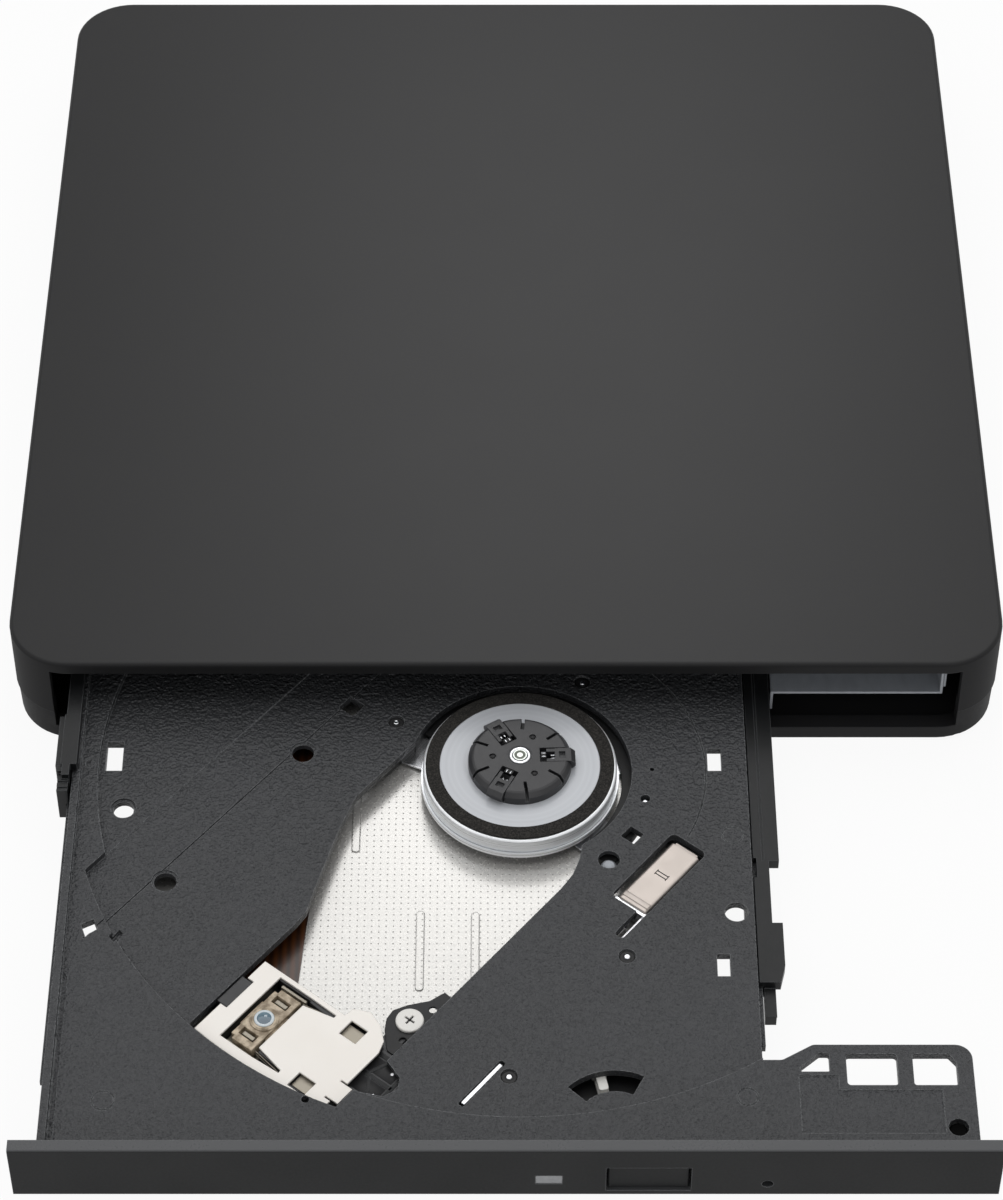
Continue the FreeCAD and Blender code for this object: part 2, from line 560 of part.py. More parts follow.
def tray_skirts():
    front = slab(TRAY_LEFT + 1, WING_RIGHT, BEZEL_BACK, BEZEL_BACK + 1.2, 7.9, DECK_Z - 0.2)
    low_front = slab(TRAY_LEFT + 1, TRAY_RIGHT, BEZEL_BACK, BEZEL_BACK + 1.2, TRAY_SKIRT, DECK_Z - 0.2)
    right = slab(TRAY_RIGHT - 1.2, TRAY_RIGHT, HUB_Y - 53, TRAY_REAR, TRAY_SKIRT, RECESS_Z - 0.2)
    rear = slab(TRAY_LEFT + 1, TRAY_RIGHT, TRAY_REAR - 1.2, TRAY_REAR, TRAY_SKIRT, RECESS_Z - 0.2)
    left = slab(TRAY_LEFT + 0.2, TRAY_LEFT + 1.1, BEZEL_BACK, TRAY_REAR, 5.4, DECK_Z - 0.2)
    right_ridge = slab(TRAY_RIGHT - 0.2, 35.3, HUB_Y - 47, TRAY_REAR - 2, 5.5, 6.8)
    left_ridge = slab(-62.65, TRAY_LEFT + 0.2, HUB_Y - 54, TRAY_REAR - 2, 7.5, 8.3)
    ribs = [slab(x, x + 0.9, TRAY_REAR - 38, TRAY_REAR - 1, 6.4, RECESS_Z - 1) for x in (-57, -54)]
    bosses = [disc(x, y, 1.5, TRAY_SKIRT, RECESS_Z - 0.1) for x, y in SHIELD_SCREWS]
    bosses += [disc(x, y, 1.4, 5.9, RECESS_Z - 1) for x, y in BOARD_POSTS]
    pivot = disc(LEVER_X, LEVER_Y, 0.8, 5.2, DECK_Z - 1)
    return [front, low_front, right, rear, left, right_ridge, left_ridge, pivot] + ribs + bosses


SHIELD_SCREWS = ((-51.9, -96.0), (-51.9, -30.0), (-51.9, 6.0), (26.0, -26.0))
BOARD_POSTS = ((-42.0, -2.0), (-1.5, 5.5), (25.0, 5.0), (-22.0, -12.0))


def tray():
    body = joined(tray_plate(), *tray_skirts())
    mechanism_room = on_traverse(joined(slab(2, 58.4, 17.0, 31.2, 4, 7.85), slab(2, 14, 14.5, 18, 4,
                                                                                 7.85)))
    rail_room = slab(TRAY_RIGHT, 40, HUB_Y - 60, HUB_Y - 48, 7, DECK_Z - PLATE)
    button_room = slab(BUTTON_SPAN[0] - 0.2, BUTTON_SPAN[1] + 0.2, BEZEL_BACK - 1, BEZEL_BACK + 0.8, 5.3,
                       10.5)
    stem_hole = slab(17.2, 20.4, BEZEL_BACK - 1, BEZEL_BACK + 2, 6.0, 8.3)
    light_hole = slab(LIGHT_SPAN[0] - 0.1, LIGHT_SPAN[1] + 0.1, BEZEL_BACK - 1, BEZEL_BACK + 2,
                      LIGHT_SPAN[2] - 0.1, 8.35)
    pin_path = slab(PIN_X - 1.2, PIN_X + 1.1, TRAY_REAR - 2, TRAY_REAR + 1, 4, 6.9)
    pinhole = rod_y(BEZEL_BACK - 1, BEZEL_BACK + 8, PINHOLE[0], PINHOLE[1], PINHOLE[2])
    pilots = [disc(x, y, 0.6, 4, 7.2) for x, y in SHIELD_SCREWS]
    pusher_bore = slab(-24.2, -19.8, TRAY_REAR - 2, TRAY_REAR + 1, 5.6, 7.3)
    tools = [traverse_opening(), mechanism_room, rail_room, button_room, stem_hole, light_hole, pin_path,
             pinhole, arc_window(),
             pusher_bore]
    body = without(body, *tools, *pilots, *feed_windows(), *wing_windows())
    body = without(body, *tray_holes())
    return without(body, *tray_fine_lines())


def front_bezel():
    half = BEZEL_WIDTH / 2
    panel = slab(-half, half, BEZEL_FRONT, BEZEL_BACK, BEZEL_BOTTOM, BEZEL_TOP)
    sharp = [e for e in panel.Edges if abs(e.BoundBox.YMax - BEZEL_FRONT) < 1e-6 and e.BoundBox.XLength > 100]
    panel = panel.makeFillet(0.35, sharp)
    x0, x1, z0, z1 = LIGHT_SPAN
    light = slab(x0, x1, BEZEL_FRONT - 1, BEZEL_BACK + 1, z0, z1)
    x0, x1, z0, z1 = BUTTON_SPAN
    button = slab(x0 - 0.3, x1 + 0.3, BEZEL_FRONT - 1, BEZEL_BACK + 1, z0 - 0.12, z1 + 0.4)
    pinhole = rod_y(BEZEL_FRONT - 1, BEZEL_BACK + 1, *PINHOLE)
    rebate = slab(-half + 1.5, half - 1.5, BEZEL_BACK - 0.5, BEZEL_BACK + 1, DECK_Z + 0.8,
                  BEZEL_TOP - 0.9)
    return without(panel, light, button, pinhole, rebate)


def eject_button():
    x0, x1, z0, z1 = BUTTON_SPAN
    cap = slab(x0, x1, BEZEL_FRONT + BUTTON_SET_BACK, BEZEL_BACK + 0.05, z0, z1)
    cap = cap.makeFillet(0.25, [e for e in cap.Edges if abs(e.BoundBox.YMax - BEZEL_FRONT - BUTTON_SET_BACK) < 1e-6])
    stem = slab(18.0, 19.6, BEZEL_BACK, BEZEL_BACK + 1.9, 6.5, 7.8)
    return joined(cap, stem)


def status_light():
    x0, x1, z0, z1 = LIGHT_SPAN
    lens = slab(x0, x1, BEZEL_FRONT + 0.1, BEZEL_BACK, z0, z1)
    return joined(lens, slab(x0 + 0.3, x1 - 0.3, BEZEL_BACK, BEZEL_BACK + 1.6, z0 + 0.2, 8.2))


def front_board():
    return slab(1.0, 25.5, BEZEL_BACK + 1.2, BEZEL_BACK + 3.9, 5.2, 5.8)


def front_components():
    body = slab(16.6, 21.0, BEZEL_BACK + 2.9, BEZEL_BACK + 3.9, 5.8, 8.2)
    nose = slab(18.2, 19.4, BEZEL_BACK + 2.5, BEZEL_BACK + 2.9, 6.6, 7.7)
    lamp = slab(4.6, 6.7, BEZEL_BACK + 1.8, BEZEL_BACK + 2.9, 5.8, 7.9)
    return group([joined(body, nose), lamp])


def tray_shield():
    plate = slab(-53.5, 27.5, HUB_Y - 62, TRAY_REAR - 2.5, 4.65, 4.9)
    corner = prism(from_hub([(-54, -63), (-54, -44), (-36, -63)]), 4, 6)
    other = prism(from_hub([(28, -63), (28, -60.5), (2, -63)]), 4, 6)
    ribs = []
    for x, y0, y1 in ((-12.0, -36.4, -22.6), (-4.3, -37.0, -22.8), (-21.4, -12.0, -1.6)):
        ribs.append(rounded_slab(x - 0.55, x + 0.55, HUB_Y + y0, HUB_Y + y1, 4.9, 5.08, 0.5))
    holes = [disc(x, y, 0.6, 4, 6) for x, y in SHIELD_SCREWS]
    peepholes = [disc(x + dx, HUB_Y + y + 2.6, 1.3, 4, 6) for x, y, dx in ((-29.3, 3.5, 1.2), (14.5, -16.2, 0.8),
                                                                          (17.9, -11.8, 0.4), (14.0, -54.6, -1.5))]
    return without(joined(plate, *ribs), corner, other, *holes, *peepholes)


def shield_screws():
    screws = []
    for x, y in SHIELD_SCREWS:
        screws.append(joined(disc(x, y, 0.6, 4.6, 7.1), disc(x, y, 1.4, 4.5, 4.65)))
    return group(screws)


def main_board():
    return slab(-50, 28, TRAY_REAR - 36, TRAY_REAR - 3, 5.3, 5.9)


def board_chips():
    y = TRAY_REAR - 20
    chips = [slab(-18, -4, y - 7, y + 7, 5.9, 7.0), slab(2, 10, y - 4, y + 4, 5.9, 6.9), slab(-34, -27, y - 4, y + 3, 5.9, 6.8)]
    chips += [slab(14 + 3 * i, 15.6 + 3 * i, y - 3, y + 1, 5.9, 6.6) for i in range(4)]
    chips += [slab(-45, -38, TRAY_REAR - 34, TRAY_REAR - 31, 5.9, 7.2), slab(-30, -12, TRAY_REAR - 34.5,
                                                                             TRAY_REAR - 32, 5.9, 7.2)]
    return group(chips)


def tray_flexes():
    to_chassis = slab(-34, -26, TRAY_REAR - 30, TRAY_REAR - 4, 4.95, 5.1)
    to_pickup = prism(from_hub([(-39.5, -37), (-28.9, -37), (-28.2, -29), (-27.2, -18.2), (-27.0, 26),
                                (-37.0, 26),
                                (-37.5, -20)]), 5.13, 5.28)
    to_motor = slab(-4, 8, HUB_Y + 11.6, TRAY_REAR - 33, 5.13, 5.28)
    return group([to_chassis, to_pickup, to_motor])


def chassis_flex():
    return slab(-34, -26, TRAY_REAR - 28, DRIVE_REAR - 1.5, PAN_TOP, PAN_TOP + 0.14)


def ejector_pusher():
    head = slab(-23.9, -20.1, TRAY_REAR - 1.3, TRAY_REAR + 2.4, 6.0, 7.15)
    flange = slab(-24.7, -19.3, TRAY_REAR - 2.2, TRAY_REAR - 1.3, 6.0, 7.2)
    shank = slab(-22.6, -21.4, TRAY_REAR - 9, TRAY_REAR - 1.3, 6.0, 7.0)
    return joined(head, flange, shank)


# Traverse: frame, shafts, motors

def traverse_frame():
    z0, z1 = 5.6, 7.1
    collar = ring(0, 0, 16.3, 19.3, z0, z1)
    collar = without(collar, slab(4.6, 20, -15.8, 20, 5, 8))
    bars = [slab(-2, 65, -21.4, -18.6, z0, z1), slab(-3, 57.5, 30.1, 33.2, z0, z1), slab(-6.3, -4.7, 15.6,
                                                                                         31.4, z0, z1),
            slab(-6.3, -3, 29.9, 31.4, z0, z1)]
    outer = prism([(63.9, -21.4), (65.5, -21.4), (65.5, 14.4), (57.5, 33.2), (55.9, 33.2), (55.9, 31.8),
                   (63.9, 13.9)],
                  z0, z1)
    blocks = [slab(1.6, 4.6, 15.8, 22, z0, z1), slab(54.9, 56.6, 19.0, 31, z0, z1),
              slab(12.0, 13.8, -19, -16.3, z0, z1), slab(61.0, 62.6, -19, -16.3, z0, z1)]
    lugs = [disc(u, v, 2.9, z0, z1) for u, v in DAMPERS]
    frame = joined(collar, outer, *bars, *blocks, *lugs)
    tools = [rod_x(2.5, 55.5, MAIN_SHAFT_V, SHAFT_Z, MAIN_SHAFT_RADIUS),
             rod_x(12.6, 61.9, SUB_SHAFT_V, SHAFT_Z, SUB_SHAFT_RADIUS), slab(8.4, 51.4, 28, 29.95, 5, 8)]
    tools += [disc(u, v, 2.0, 5, 8) for u, v in DAMPERS]
    return on_traverse(without(frame, *tools))


def traverse_dampers():
    pads = []
    for u, v in DAMPERS:
        x, y = traverse_point(u, v)
        pads.append(ring(x, y, 0.8, 2.0, 5.45, 7.25))
    return group(pads)


def traverse_screws():
    screws = []
    for u, v in DAMPERS:
        x, y = traverse_point(u, v)
        screws.append(joined(disc(x, y, 1.7, 5.15, 5.45), disc(x, y, 0.8, 5.45, 8.3)))
    return group(screws)


def guide_shafts():
    main = rod_x(2.6, 55.4, MAIN_SHAFT_V, SHAFT_Z, MAIN_SHAFT_RADIUS)
    sub = rod_x(12.7, 61.8, SUB_SHAFT_V, SHAFT_Z, SUB_SHAFT_RADIUS)
    return on_traverse(group([main, sub]))


def feed_motor():
    can = slab(-3.7, 8.6, 24.6, 29.6, 5.3, 8.05)
    long_edges = [e for e in can.Edges if e.BoundBox.XLength > 10]
    can = can.makeFillet(0.6, long_edges)
    collar = slab(-4.1, -3.7, 25.2, 29.0, 5.6, 7.9)
    return on_traverse(joined(can, collar))


def feed_bracket():
    plate = slab(8.6, 9.2, 24.1, 29.9, 5.3, 7.75)
    leg = slab(9.2, 51.2, 29.15, 29.75, 5.3, 7.3)
    end = slab(50.6, 51.2, 25.6, 29.75, 5.5, 7.3)
    hole = rod_x(8, 10, SCREW_V, SHAFT_Z, 0.95)
    end_hole = rod_x(50, 52, SCREW_V, SHAFT_Z, 0.45)
    foot = slab(30, 34, 29.15, 31.5, 5.3, 5.6)
    return on_traverse(without(joined(plate, leg, end, foot), hole, end_hole))


def lead_screw():
    core = rod_x(8.7, 50.5, SCREW_V, SHAFT_Z, SCREW_CORE)
    tip = rod_x(50.5, 51.1, SCREW_V, SHAFT_Z, 0.4)
    helix = Part.makeHelix(SCREW_PITCH, 39.0, SCREW_CORE)
    base, crest = SCREW_CORE - 0.12, SCREW_OUTER
    corners = [FreeCAD.Vector(base, 0, -0.32), FreeCAD.Vector(crest, 0, -0.12), FreeCAD.Vector(crest, 0, 0.12),
               FreeCAD.Vector(base, 0, 0.32)]
    corners.append(corners[0])
    ridge = Part.Wire(helix).makePipeShell([Part.makePolygon(corners)], True, True)
    ridge.rotate(FreeCAD.Vector(0, 0, 0), FreeCAD.Vector(0, 1, 0), 90)
    ridge.translate(FreeCAD.Vector(10.6, SCREW_V, SHAFT_Z))
    return on_traverse(joined(core, tip, ridge))


# Spindle motor, turntable and hub

def spindle_base():
    plate = disc(HUB_X, HUB_Y, 12.6, 5.3, 5.6)
    arms = []
    for angle in (20, 156, 318):
        arm = slab(0, 17.6, -3.2, 3.2, 5.3, 5.6)
        arm.rotate(FreeCAD.Vector(0, 0, 0), FreeCAD.Vector(0, 0, 1), angle)
        arm.translate(FreeCAD.Vector(HUB_X, HUB_Y, 0))
        arms.append(arm)
    sleeve = disc(HUB_X, HUB_Y, 3.0, 5.6, 8.8)
    base = joined(plate, *arms, sleeve)
    return without(base, disc(HUB_X, HUB_Y, 1.06, 5.45, 10))


def spindle_stator():
    core = ring(HUB_X, HUB_Y, 3.03, 5.4, 6.4, 8.0)
    teeth = []
    for i in range(9):
        tooth = joined(slab(5.2, 10.6, -0.6, 0.6, 6.9, 7.5), slab(5.9, 9.8, -1.2, 1.2, 6.4, 8.0),
                       slab(10.4, 11.2, -2.2, 2.2, 6.6, 7.8))
        tooth.rotate(FreeCAD.Vector(0, 0, 0), FreeCAD.Vector(0, 0, 1), 40 * i)
        tooth.translate(FreeCAD.Vector(HUB_X, HUB_Y, 0))
        teeth.append(tooth)
    return joined(core, *teeth)


def rotor_bell():
    side = ring(HUB_X, HUB_Y, 13.2, BELL_RADIUS, 6.5, 9.75)
    roof = ring(HUB_X, HUB_Y, 1.0, BELL_RADIUS, 9.25, 9.75)
    bell = joined(side, roof)
    rim = [e for e in bell.Edges if abs(e.BoundBox.ZMin - 9.75) < 1e-6 and abs(e.BoundBox.ZMax - 9.75) < 1e-6
           and e.BoundBox.XLength > 27]
    bell = bell.makeFillet(0.42, rim)
    lip = ring(HUB_X, HUB_Y, 13.2, BELL_LIP_RADIUS, 6.5, 7.35)
    neck = ring(HUB_X, HUB_Y, 13.6, 15, 7.35, 7.55)
    return without(joined(bell, lip), neck)


def rotor_magnet():
    return ring(HUB_X, HUB_Y, 11.6, 13.2, 6.6, 8.9)


def turntable_ring():
    return ring(HUB_X, HUB_Y, 7.0, PAD_INNER, 9.75, 9.98)


def turntable_pad():
    return ring(HUB_X, HUB_Y, PAD_INNER, PAD_OUTER, 9.75, DISC_PLANE)


def spindle_shaft():
    return disc(HUB_X, HUB_Y, 1.0, 5.5, HUB_TOP + 0.12)


def claw_slot(grow):
    return slab(2.9 - grow, 9, -1.25 - grow, 1.25 + grow, 10.35 - grow, 13)


def disc_hub():
    collar = disc(0, 0, HUB_RADIUS, 9.98, 11.25)
    crown = cone(0, 0, HUB_RADIUS, 6.9, 11.25, HUB_TOP - 0.15)
    cap = cone(0, 0, 6.9, 6.6, HUB_TOP - 0.15, HUB_TOP)
    hub = joined(disc(0, 0, 6.95, 9.75, 9.98), collar, crown, cap)
    tools = [disc(0, 0, 1.0, 9, 13), ring(0, 0, 1.5, 1.75, HUB_TOP - 0.12, 13)]
    for angle in CLAW_ANGLES:
        cuts = [claw_slot(0.06)]
        for side in (-1, 1):
            slit = slab(4.9, 9, -0.24, 0.24, 10.5, 13)
            slit.rotate(FreeCAD.Vector(0, 0, 0), FreeCAD.Vector(0, 0, 1), side * 36)
            cuts.append(slit)
        dimple = disc(3.9, 0, 0.5, HUB_TOP - 0.35, 13)
        dimple.rotate(FreeCAD.Vector(0, 0, 0), FreeCAD.Vector(0, 0, 1), 60)
        cuts.append(dimple)
        for cut in cuts:
            cut.rotate(FreeCAD.Vector(0, 0, 0), FreeCAD.Vector(0, 0, 1), angle)
            tools.append(cut)
    hub = without(hub, *tools)
    hub.translate(FreeCAD.Vector(HUB_X, HUB_Y, 0))
    return hub


def hub_claw(angle):
    nose = [(5.0, 10.4), (7.55, 10.4), (7.95, 10.9), (7.95, 11.35), (7.3, 12.05), (5.0, 12.05)]
    corners = [FreeCAD.Vector(x, -1.2, z) for x, z in nose]
    corners.append(corners[0])
    body = Part.Face(Part.makePolygon(corners)).extrude(FreeCAD.Vector(0, 2.4, 0))
    guides = [slab(3.8, 5.0, s * 0.9 - 0.25, s * 0.9 + 0.25, 10.4, 12.0) for s in (-1, 1)]
    claw = joined(body, *guides)
    claw = without(claw, slab(5.6, 6.5, -0.6, 0.6, 11.6, 13))
    claw.rotate(FreeCAD.Vector(0, 0, 0), FreeCAD.Vector(0, 0, 1), angle)
    claw.translate(FreeCAD.Vector(HUB_X, HUB_Y, 0))
    return claw


# Pickup sled

def pickup_outline(z0, z1, inset):
    edge = [(48.6 + inset, -5.9 + inset), (48.6 + inset, 8.6), (47.1 + inset, 8.8), (46.0 + inset, 11.0),
            (46.9 + inset, 13.5), (48.6, 15.5 - inset), (50.5, 16.2 - inset), (57.0, 16.2 - inset),
            (58.6, 16.2 - inset), (66, 16.2 - inset), (66, -5.9 + inset)]
    return prism(edge, z0, z1).common(disc(0, 0, 63.4 - inset, z0 - 1, z1 + 1))


def pickup_housing():
    body = pickup_outline(5.45, 8.3, 0.35)
    arms = [slab(u, u + 1.6, 15, 21.6, 5.45, 7.7) for u in (49.2, 52.9)]
    bridge = slab(49.2, 57.6, 15, 21.4, 7.15, 7.7)
    sub_arm = slab(52.2, 57.6, -18.6, -5.0, 5.45, 7.1)
    tab = slab(52.4, 57.6, -6.7, -4.9, 7.0, 8.45)
    ear = slab(41.4, 49.4, 14.3, 17.1, 6.0, 7.36)
    body = joined(body, sub_arm, tab, bridge, ear, *arms)
    actuator_room = slab(49.6, 61.9, -2.7, 3.3, 5.9, 9)
    wire_rooms = [prism([(u, 3.0), (u + 1.3, 3.0), (u + 0.9, 7.8), (u + 0.4, 7.8)], 6.6,
                        9) for u in (49.8, 60.5)]
    main_bore = rod_x(48, 59, MAIN_SHAFT_V, SHAFT_Z, MAIN_SHAFT_RADIUS + 0.05)
    sub_slot = slab(50, 60, -19, SUB_SHAFT_V + SUB_SHAFT_RADIUS + 0.05, SHAFT_Z - 0.65, SHAFT_Z + 0.65)
    laser_room = slab(48, 52, 9.6, 13.1, 7.2, 9)
    flex_room = slab(58.4, 61.8, 9.9, 13.0, 7.6, 9)
    screw_hole = disc(43.4, 15.7, 0.7, 5, 8)
    return on_traverse(without(body, actuator_room, main_bore, sub_slot, laser_room, flex_room,
                               screw_hole, *wire_rooms))


def pickup_cover():
    plate = pickup_outline(8.3, 8.6, 0)
    lens_window = slab(49.3, 61.8, -2.45, 3.05, 8, 9)
    wedges = [prism([(49.3, 3.0), (51.0, 3.0), (49.9, 7.7), (49.4, 7.7)], 8, 9),
              prism([(60.0, 3.0), (61.8, 3.0), (61.5, 7.8), (61.0, 7.8)], 8, 9)]
    side_notch = slab(52.2, 57.8, -7, -4.8, 8, 9)
    squares = [slab(48.7, 51.4, 9.9, 12.8, 8, 9), slab(59.6, 62.2, 10.0, 12.9, 8, 9)]
    tab = slab(57.3, 60.3, 16.0, 17.3, 8.3, 8.6)
    slot = slab(60.3, 60.6, 15.2, 18, 8, 9)
    slot_two = slab(57.0, 57.3, 15.2, 18, 8, 9)
    return on_traverse(without(joined(plate, tab), lens_window, side_notch, slot, slot_two, *wedges,
                               *squares))


def pickup_inserts():
    base = slab(50.4, 61.2, -2.5, 3.1, 5.9, 6.2)
    prongs = [slab(u, u + 0.6, -0.4, 1.5, 6.2, 8.35) for u in (52.3, 59.0)]
    walls = [slab(u, u + 0.4, -1.6, 2.8, 6.2, 8.0) for u in (49.8, 61.4)]
    yoke = joined(base, slab(49.8, 61.8, -1.6, 2.8, 5.9, 6.2), *prongs, *walls)
    laser = slab(49.0, 51.2, 9.8, 12.9, 7.2, 7.9)
    detector = slab(58.8, 61.5, 10.1, 12.8, 7.6, 7.9)
    return on_traverse(group([yoke, laser, detector]))


def lens_holder():
    body = slab(50.9, 61.1, -1.5, 2.6, 6.9, 8.65)
    slots = [slab(u, u + 1.3, -0.75, 1.85, 6, 9) for u in (51.95, 58.65)]
    step = [slab(50, 51.6, -2, -0.9, 6, 9), slab(60.5, 62, -2, -0.9, 6, 9)]
    seat = disc(56.1, 0.55, 1.75, 8.3, 9)
    rim = ring(56.1, 0.55, 1.75, 2.0, 8.65, 8.85)
    coils = [slab(53.8, 58.4, v, v + 0.35, 7.2, 8.3) for v in (-1.85, 2.6)]
    holder = joined(without(body, seat, *slots, *step), rim, *coils)
    return on_traverse(holder)


def objective_lens():
    lens = disc(56.1, 0.55, 1.75, 8.3, 8.75)
    dome = Part.makeSphere(2.6, FreeCAD.Vector(56.1, 0.55, 6.6)).common(disc(56.1, 0.55, 1.35, 8.5, 9.4))
    return on_traverse(joined(lens, dome))


def rack_bracket():
    plate = prism([(36.6, 16.3), (36.9, 18.6), (38.4, 20.6), (40.2, 21.5), (42.7, 24.0), (42.7, 25.2),
                   (46.0, 25.2), (46.8, 21.4),
                   (49.0, 19.4), (49.0, 16.4), (48.3, 15.6), (46.6, 13.9), (45.0, 12.9), (43.4, 12.7), (41.6, 13.6),
                   (39.0, 15.6)], 7.36, 7.7)
    arm = slab(NUT_U - 1.6, NUT_U + 1.6, 25.0, 26.0, 7.36, 7.7)
    drop = slab(NUT_U - 1.6, NUT_U + 1.6, 25.2, 25.7, 5.5, 7.5)
    tooth = slab(NUT_U - 0.2, NUT_U + 0.2, 25.7, SCREW_V - SCREW_CORE - 0.08, SHAFT_Z - 0.35,
                 SHAFT_Z + 0.35)
    holes = [disc(39.9, 16.9, 0.55, 7, 8), disc(46.4, 17.0, 0.55, 7, 8), disc(43.4, 15.7, 0.7, 5, 8)]
    return on_traverse(without(joined(plate, arm, drop, tooth), *holes))


def bracket_screw():
    head = disc(43.4, 15.7, 1.95, 7.7, 8.15)
    head = head.makeFillet(0.2, level_edges(head, 8.15))
    cross = joined(slab(42.6, 44.2, 15.55, 15.85, 7.9, 9), slab(43.25, 43.55, 14.9, 16.5, 7.9, 9))
    return on_traverse(without(joined(head, disc(43.4, 15.7, 0.7, 6.2, 7.7)), cross))


# Eject lock

def lever_shape(z0, z1, points):
    return prism([(LEVER_X + x, LEVER_Y + y) for x, y in points], z0, z1)


def lock_lever():
    z0, z1 = 5.5, 6.2
    hub = disc(LEVER_X, LEVER_Y, 1.7, z0, z1)
    arm = lever_shape(z0, z1, [(0, -1.4), (16.2, -1.4), (16.2, 2.6), (18.0, 2.6), (18.0, 3.8), (14.9, 3.8), (14.9, 0.4), (0, 1.2)])
    arm.rotate(FreeCAD.Vector(LEVER_X, LEVER_Y, 0), FreeCAD.Vector(0, 0, 1), LEVER_SWING)
    finger = slab(-0.75, 0.75, 0, 10.4, z0, z1)
    fork = slab(-1.0, 1.0, 9.6, 12.2, z0, z1)
    bump = rounded_slab(-0.65, 0.65, 6.6, 9.2, z1, 7.3, 0.35)
    finger = joined(finger, fork, bump)
    finger = without(finger, slab(-0.45, 0.45, 10.4, 13, z0 - 1, z1 + 1))
    finger.rotate(FreeCAD.Vector(0, 0, 0), FreeCAD.Vector(0, 0, 1), 12)
    finger.translate(FreeCAD.Vector(LEVER_X, LEVER_Y, 0))
    sector = ring(LEVER_X, LEVER_Y, 4.4, 5.9, z0, z1)
    wedge = lever_shape(z0 - 1, z1 + 1, [(0, 0), (-12, 7), (-6, 14), (6, 14), (12, 10)])
    sector = sector.common(wedge)
    return without(joined(hub, arm, finger, sector), disc(LEVER_X, LEVER_Y, 0.86, 0, 9))


PLUNGER_Y = LEVER_Y + 10.95
PLUNGER_TIP_X = LEVER_X - 2.33


def solenoid():
    y = PLUNGER_Y
    frame = slab(18.6, 27.0, y - 2.2, y + 2.2, 5.3, 7.4)
    return without(frame, slab(17, 26.2, y - 0.75, y + 0.75, 5.75, 6.95), slab(20.0, 25.6, y - 1.6,
                                                                               y + 1.6, 5.2, 5.5))


def solenoid_plunger():
    y = PLUNGER_Y
    rod = slab(PLUNGER_TIP_X - 0.7, 22.0, y - 0.6, y + 0.6, 6.35, 6.85)
    pin = disc(PLUNGER_TIP_X, y, 0.35, 5.4, 6.4)
    return joined(rod, pin)


NODES = {
    "top_cover": top_cover, "bottom_cover": bottom_cover, "rubber_feet": rubber_feet, "case_screws": case_screws,
    "interface_board": interface_board, "board_components": board_components, "usb_socket": usb_socket,
    "drive_connectors": drive_connectors, "drive_chassis": drive_chassis, "drive_lid": drive_lid,
    "small_screws": small_screws, "lock_pin": lock_pin, "right_guide_rail": right_guide_rail,
    "left_guide_rail": left_guide_rail, "chassis_flex": chassis_flex, "right_slide_rail": right_slide_rail,
    "left_slide_rail": left_slide_rail, "tray": tray, "front_bezel": front_bezel, "status_light": status_light,
    "front_board": front_board, "front_components": front_components, "tray_shield": tray_shield,
    "shield_screws": shield_screws, "main_board": main_board, "board_chips": board_chips,
    "tray_flexes": tray_flexes, "traverse_frame": traverse_frame, "traverse_dampers": traverse_dampers,
    "traverse_screws": traverse_screws, "guide_shafts": guide_shafts, "feed_motor": feed_motor,
    "feed_bracket": feed_bracket, "spindle_base": spindle_base, "spindle_stator": spindle_stator,
    "solenoid": solenoid, "eject_button": eject_button, "ejector_pusher": ejector_pusher, "lead_screw": lead_screw,
    "rotor_bell": rotor_bell, "rotor_magnet": rotor_magnet, "turntable_ring": turntable_ring,
    "turntable_pad": turntable_pad, "spindle_shaft": spindle_shaft, "disc_hub": disc_hub,
    "hub_claw_1": lambda: hub_claw(CLAW_ANGLES[0]), "hub_claw_2": lambda: hub_claw(CLAW_ANGLES[1]),
    "hub_claw_3": lambda: hub_claw(CLAW_ANGLES[2]), "pickup_housing": pickup_housing,
    "pickup_cover": pickup_cover, "pickup_inserts": pickup_inserts, "lens_holder": lens_holder,
    "objective_lens": objective_lens, "rack_bracket": rack_bracket, "bracket_screw": bracket_screw,
    "lock_lever": lock_lever, "solenoid_plunger": solenoid_plunger,
}


def main():
    os.makedirs("parts", exist_ok=True)
    for name, make in NODES.items():
        shape = make()
        if not shape.isValid():
            print("not valid:", name)
        shape.exportStep("parts/" + name + ".step")
        box = shape.BoundBox
        print(name, len(shape.Solids), "x %.1f %.1f y %.1f %.1f z %.2f %.2f" % (
            box.XMin, box.XMax, box.YMin, box.YMax, box.ZMin, box.ZMax))


main()
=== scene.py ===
import math

import bpy
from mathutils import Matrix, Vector


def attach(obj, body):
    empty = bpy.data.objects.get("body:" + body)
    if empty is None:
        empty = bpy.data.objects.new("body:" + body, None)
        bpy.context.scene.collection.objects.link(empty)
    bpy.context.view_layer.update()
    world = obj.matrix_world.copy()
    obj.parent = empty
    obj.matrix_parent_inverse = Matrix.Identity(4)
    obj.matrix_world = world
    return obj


# External disc drive with its tray drawn out: finishes, small fittings, floor, light and camera.
# Everything is in metres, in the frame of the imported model: +Z up, the tray comes out towards -Y.
# Places and sizes of the fittings are written in mm and multiplied by MM where they are used.

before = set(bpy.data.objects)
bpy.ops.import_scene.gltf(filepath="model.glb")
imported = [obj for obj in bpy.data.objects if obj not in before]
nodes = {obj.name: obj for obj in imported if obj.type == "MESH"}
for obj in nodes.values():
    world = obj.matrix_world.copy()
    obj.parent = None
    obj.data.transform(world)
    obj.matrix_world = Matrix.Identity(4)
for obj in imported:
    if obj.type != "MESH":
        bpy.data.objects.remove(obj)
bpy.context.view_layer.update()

MM = 0.001
HUB = Vector((2.0, -46.5, 0.0)) * MM
TRAVERSE_TURN = math.radians(231.0)
WHITE = (1.0, 1.0, 1.0, 1.0)


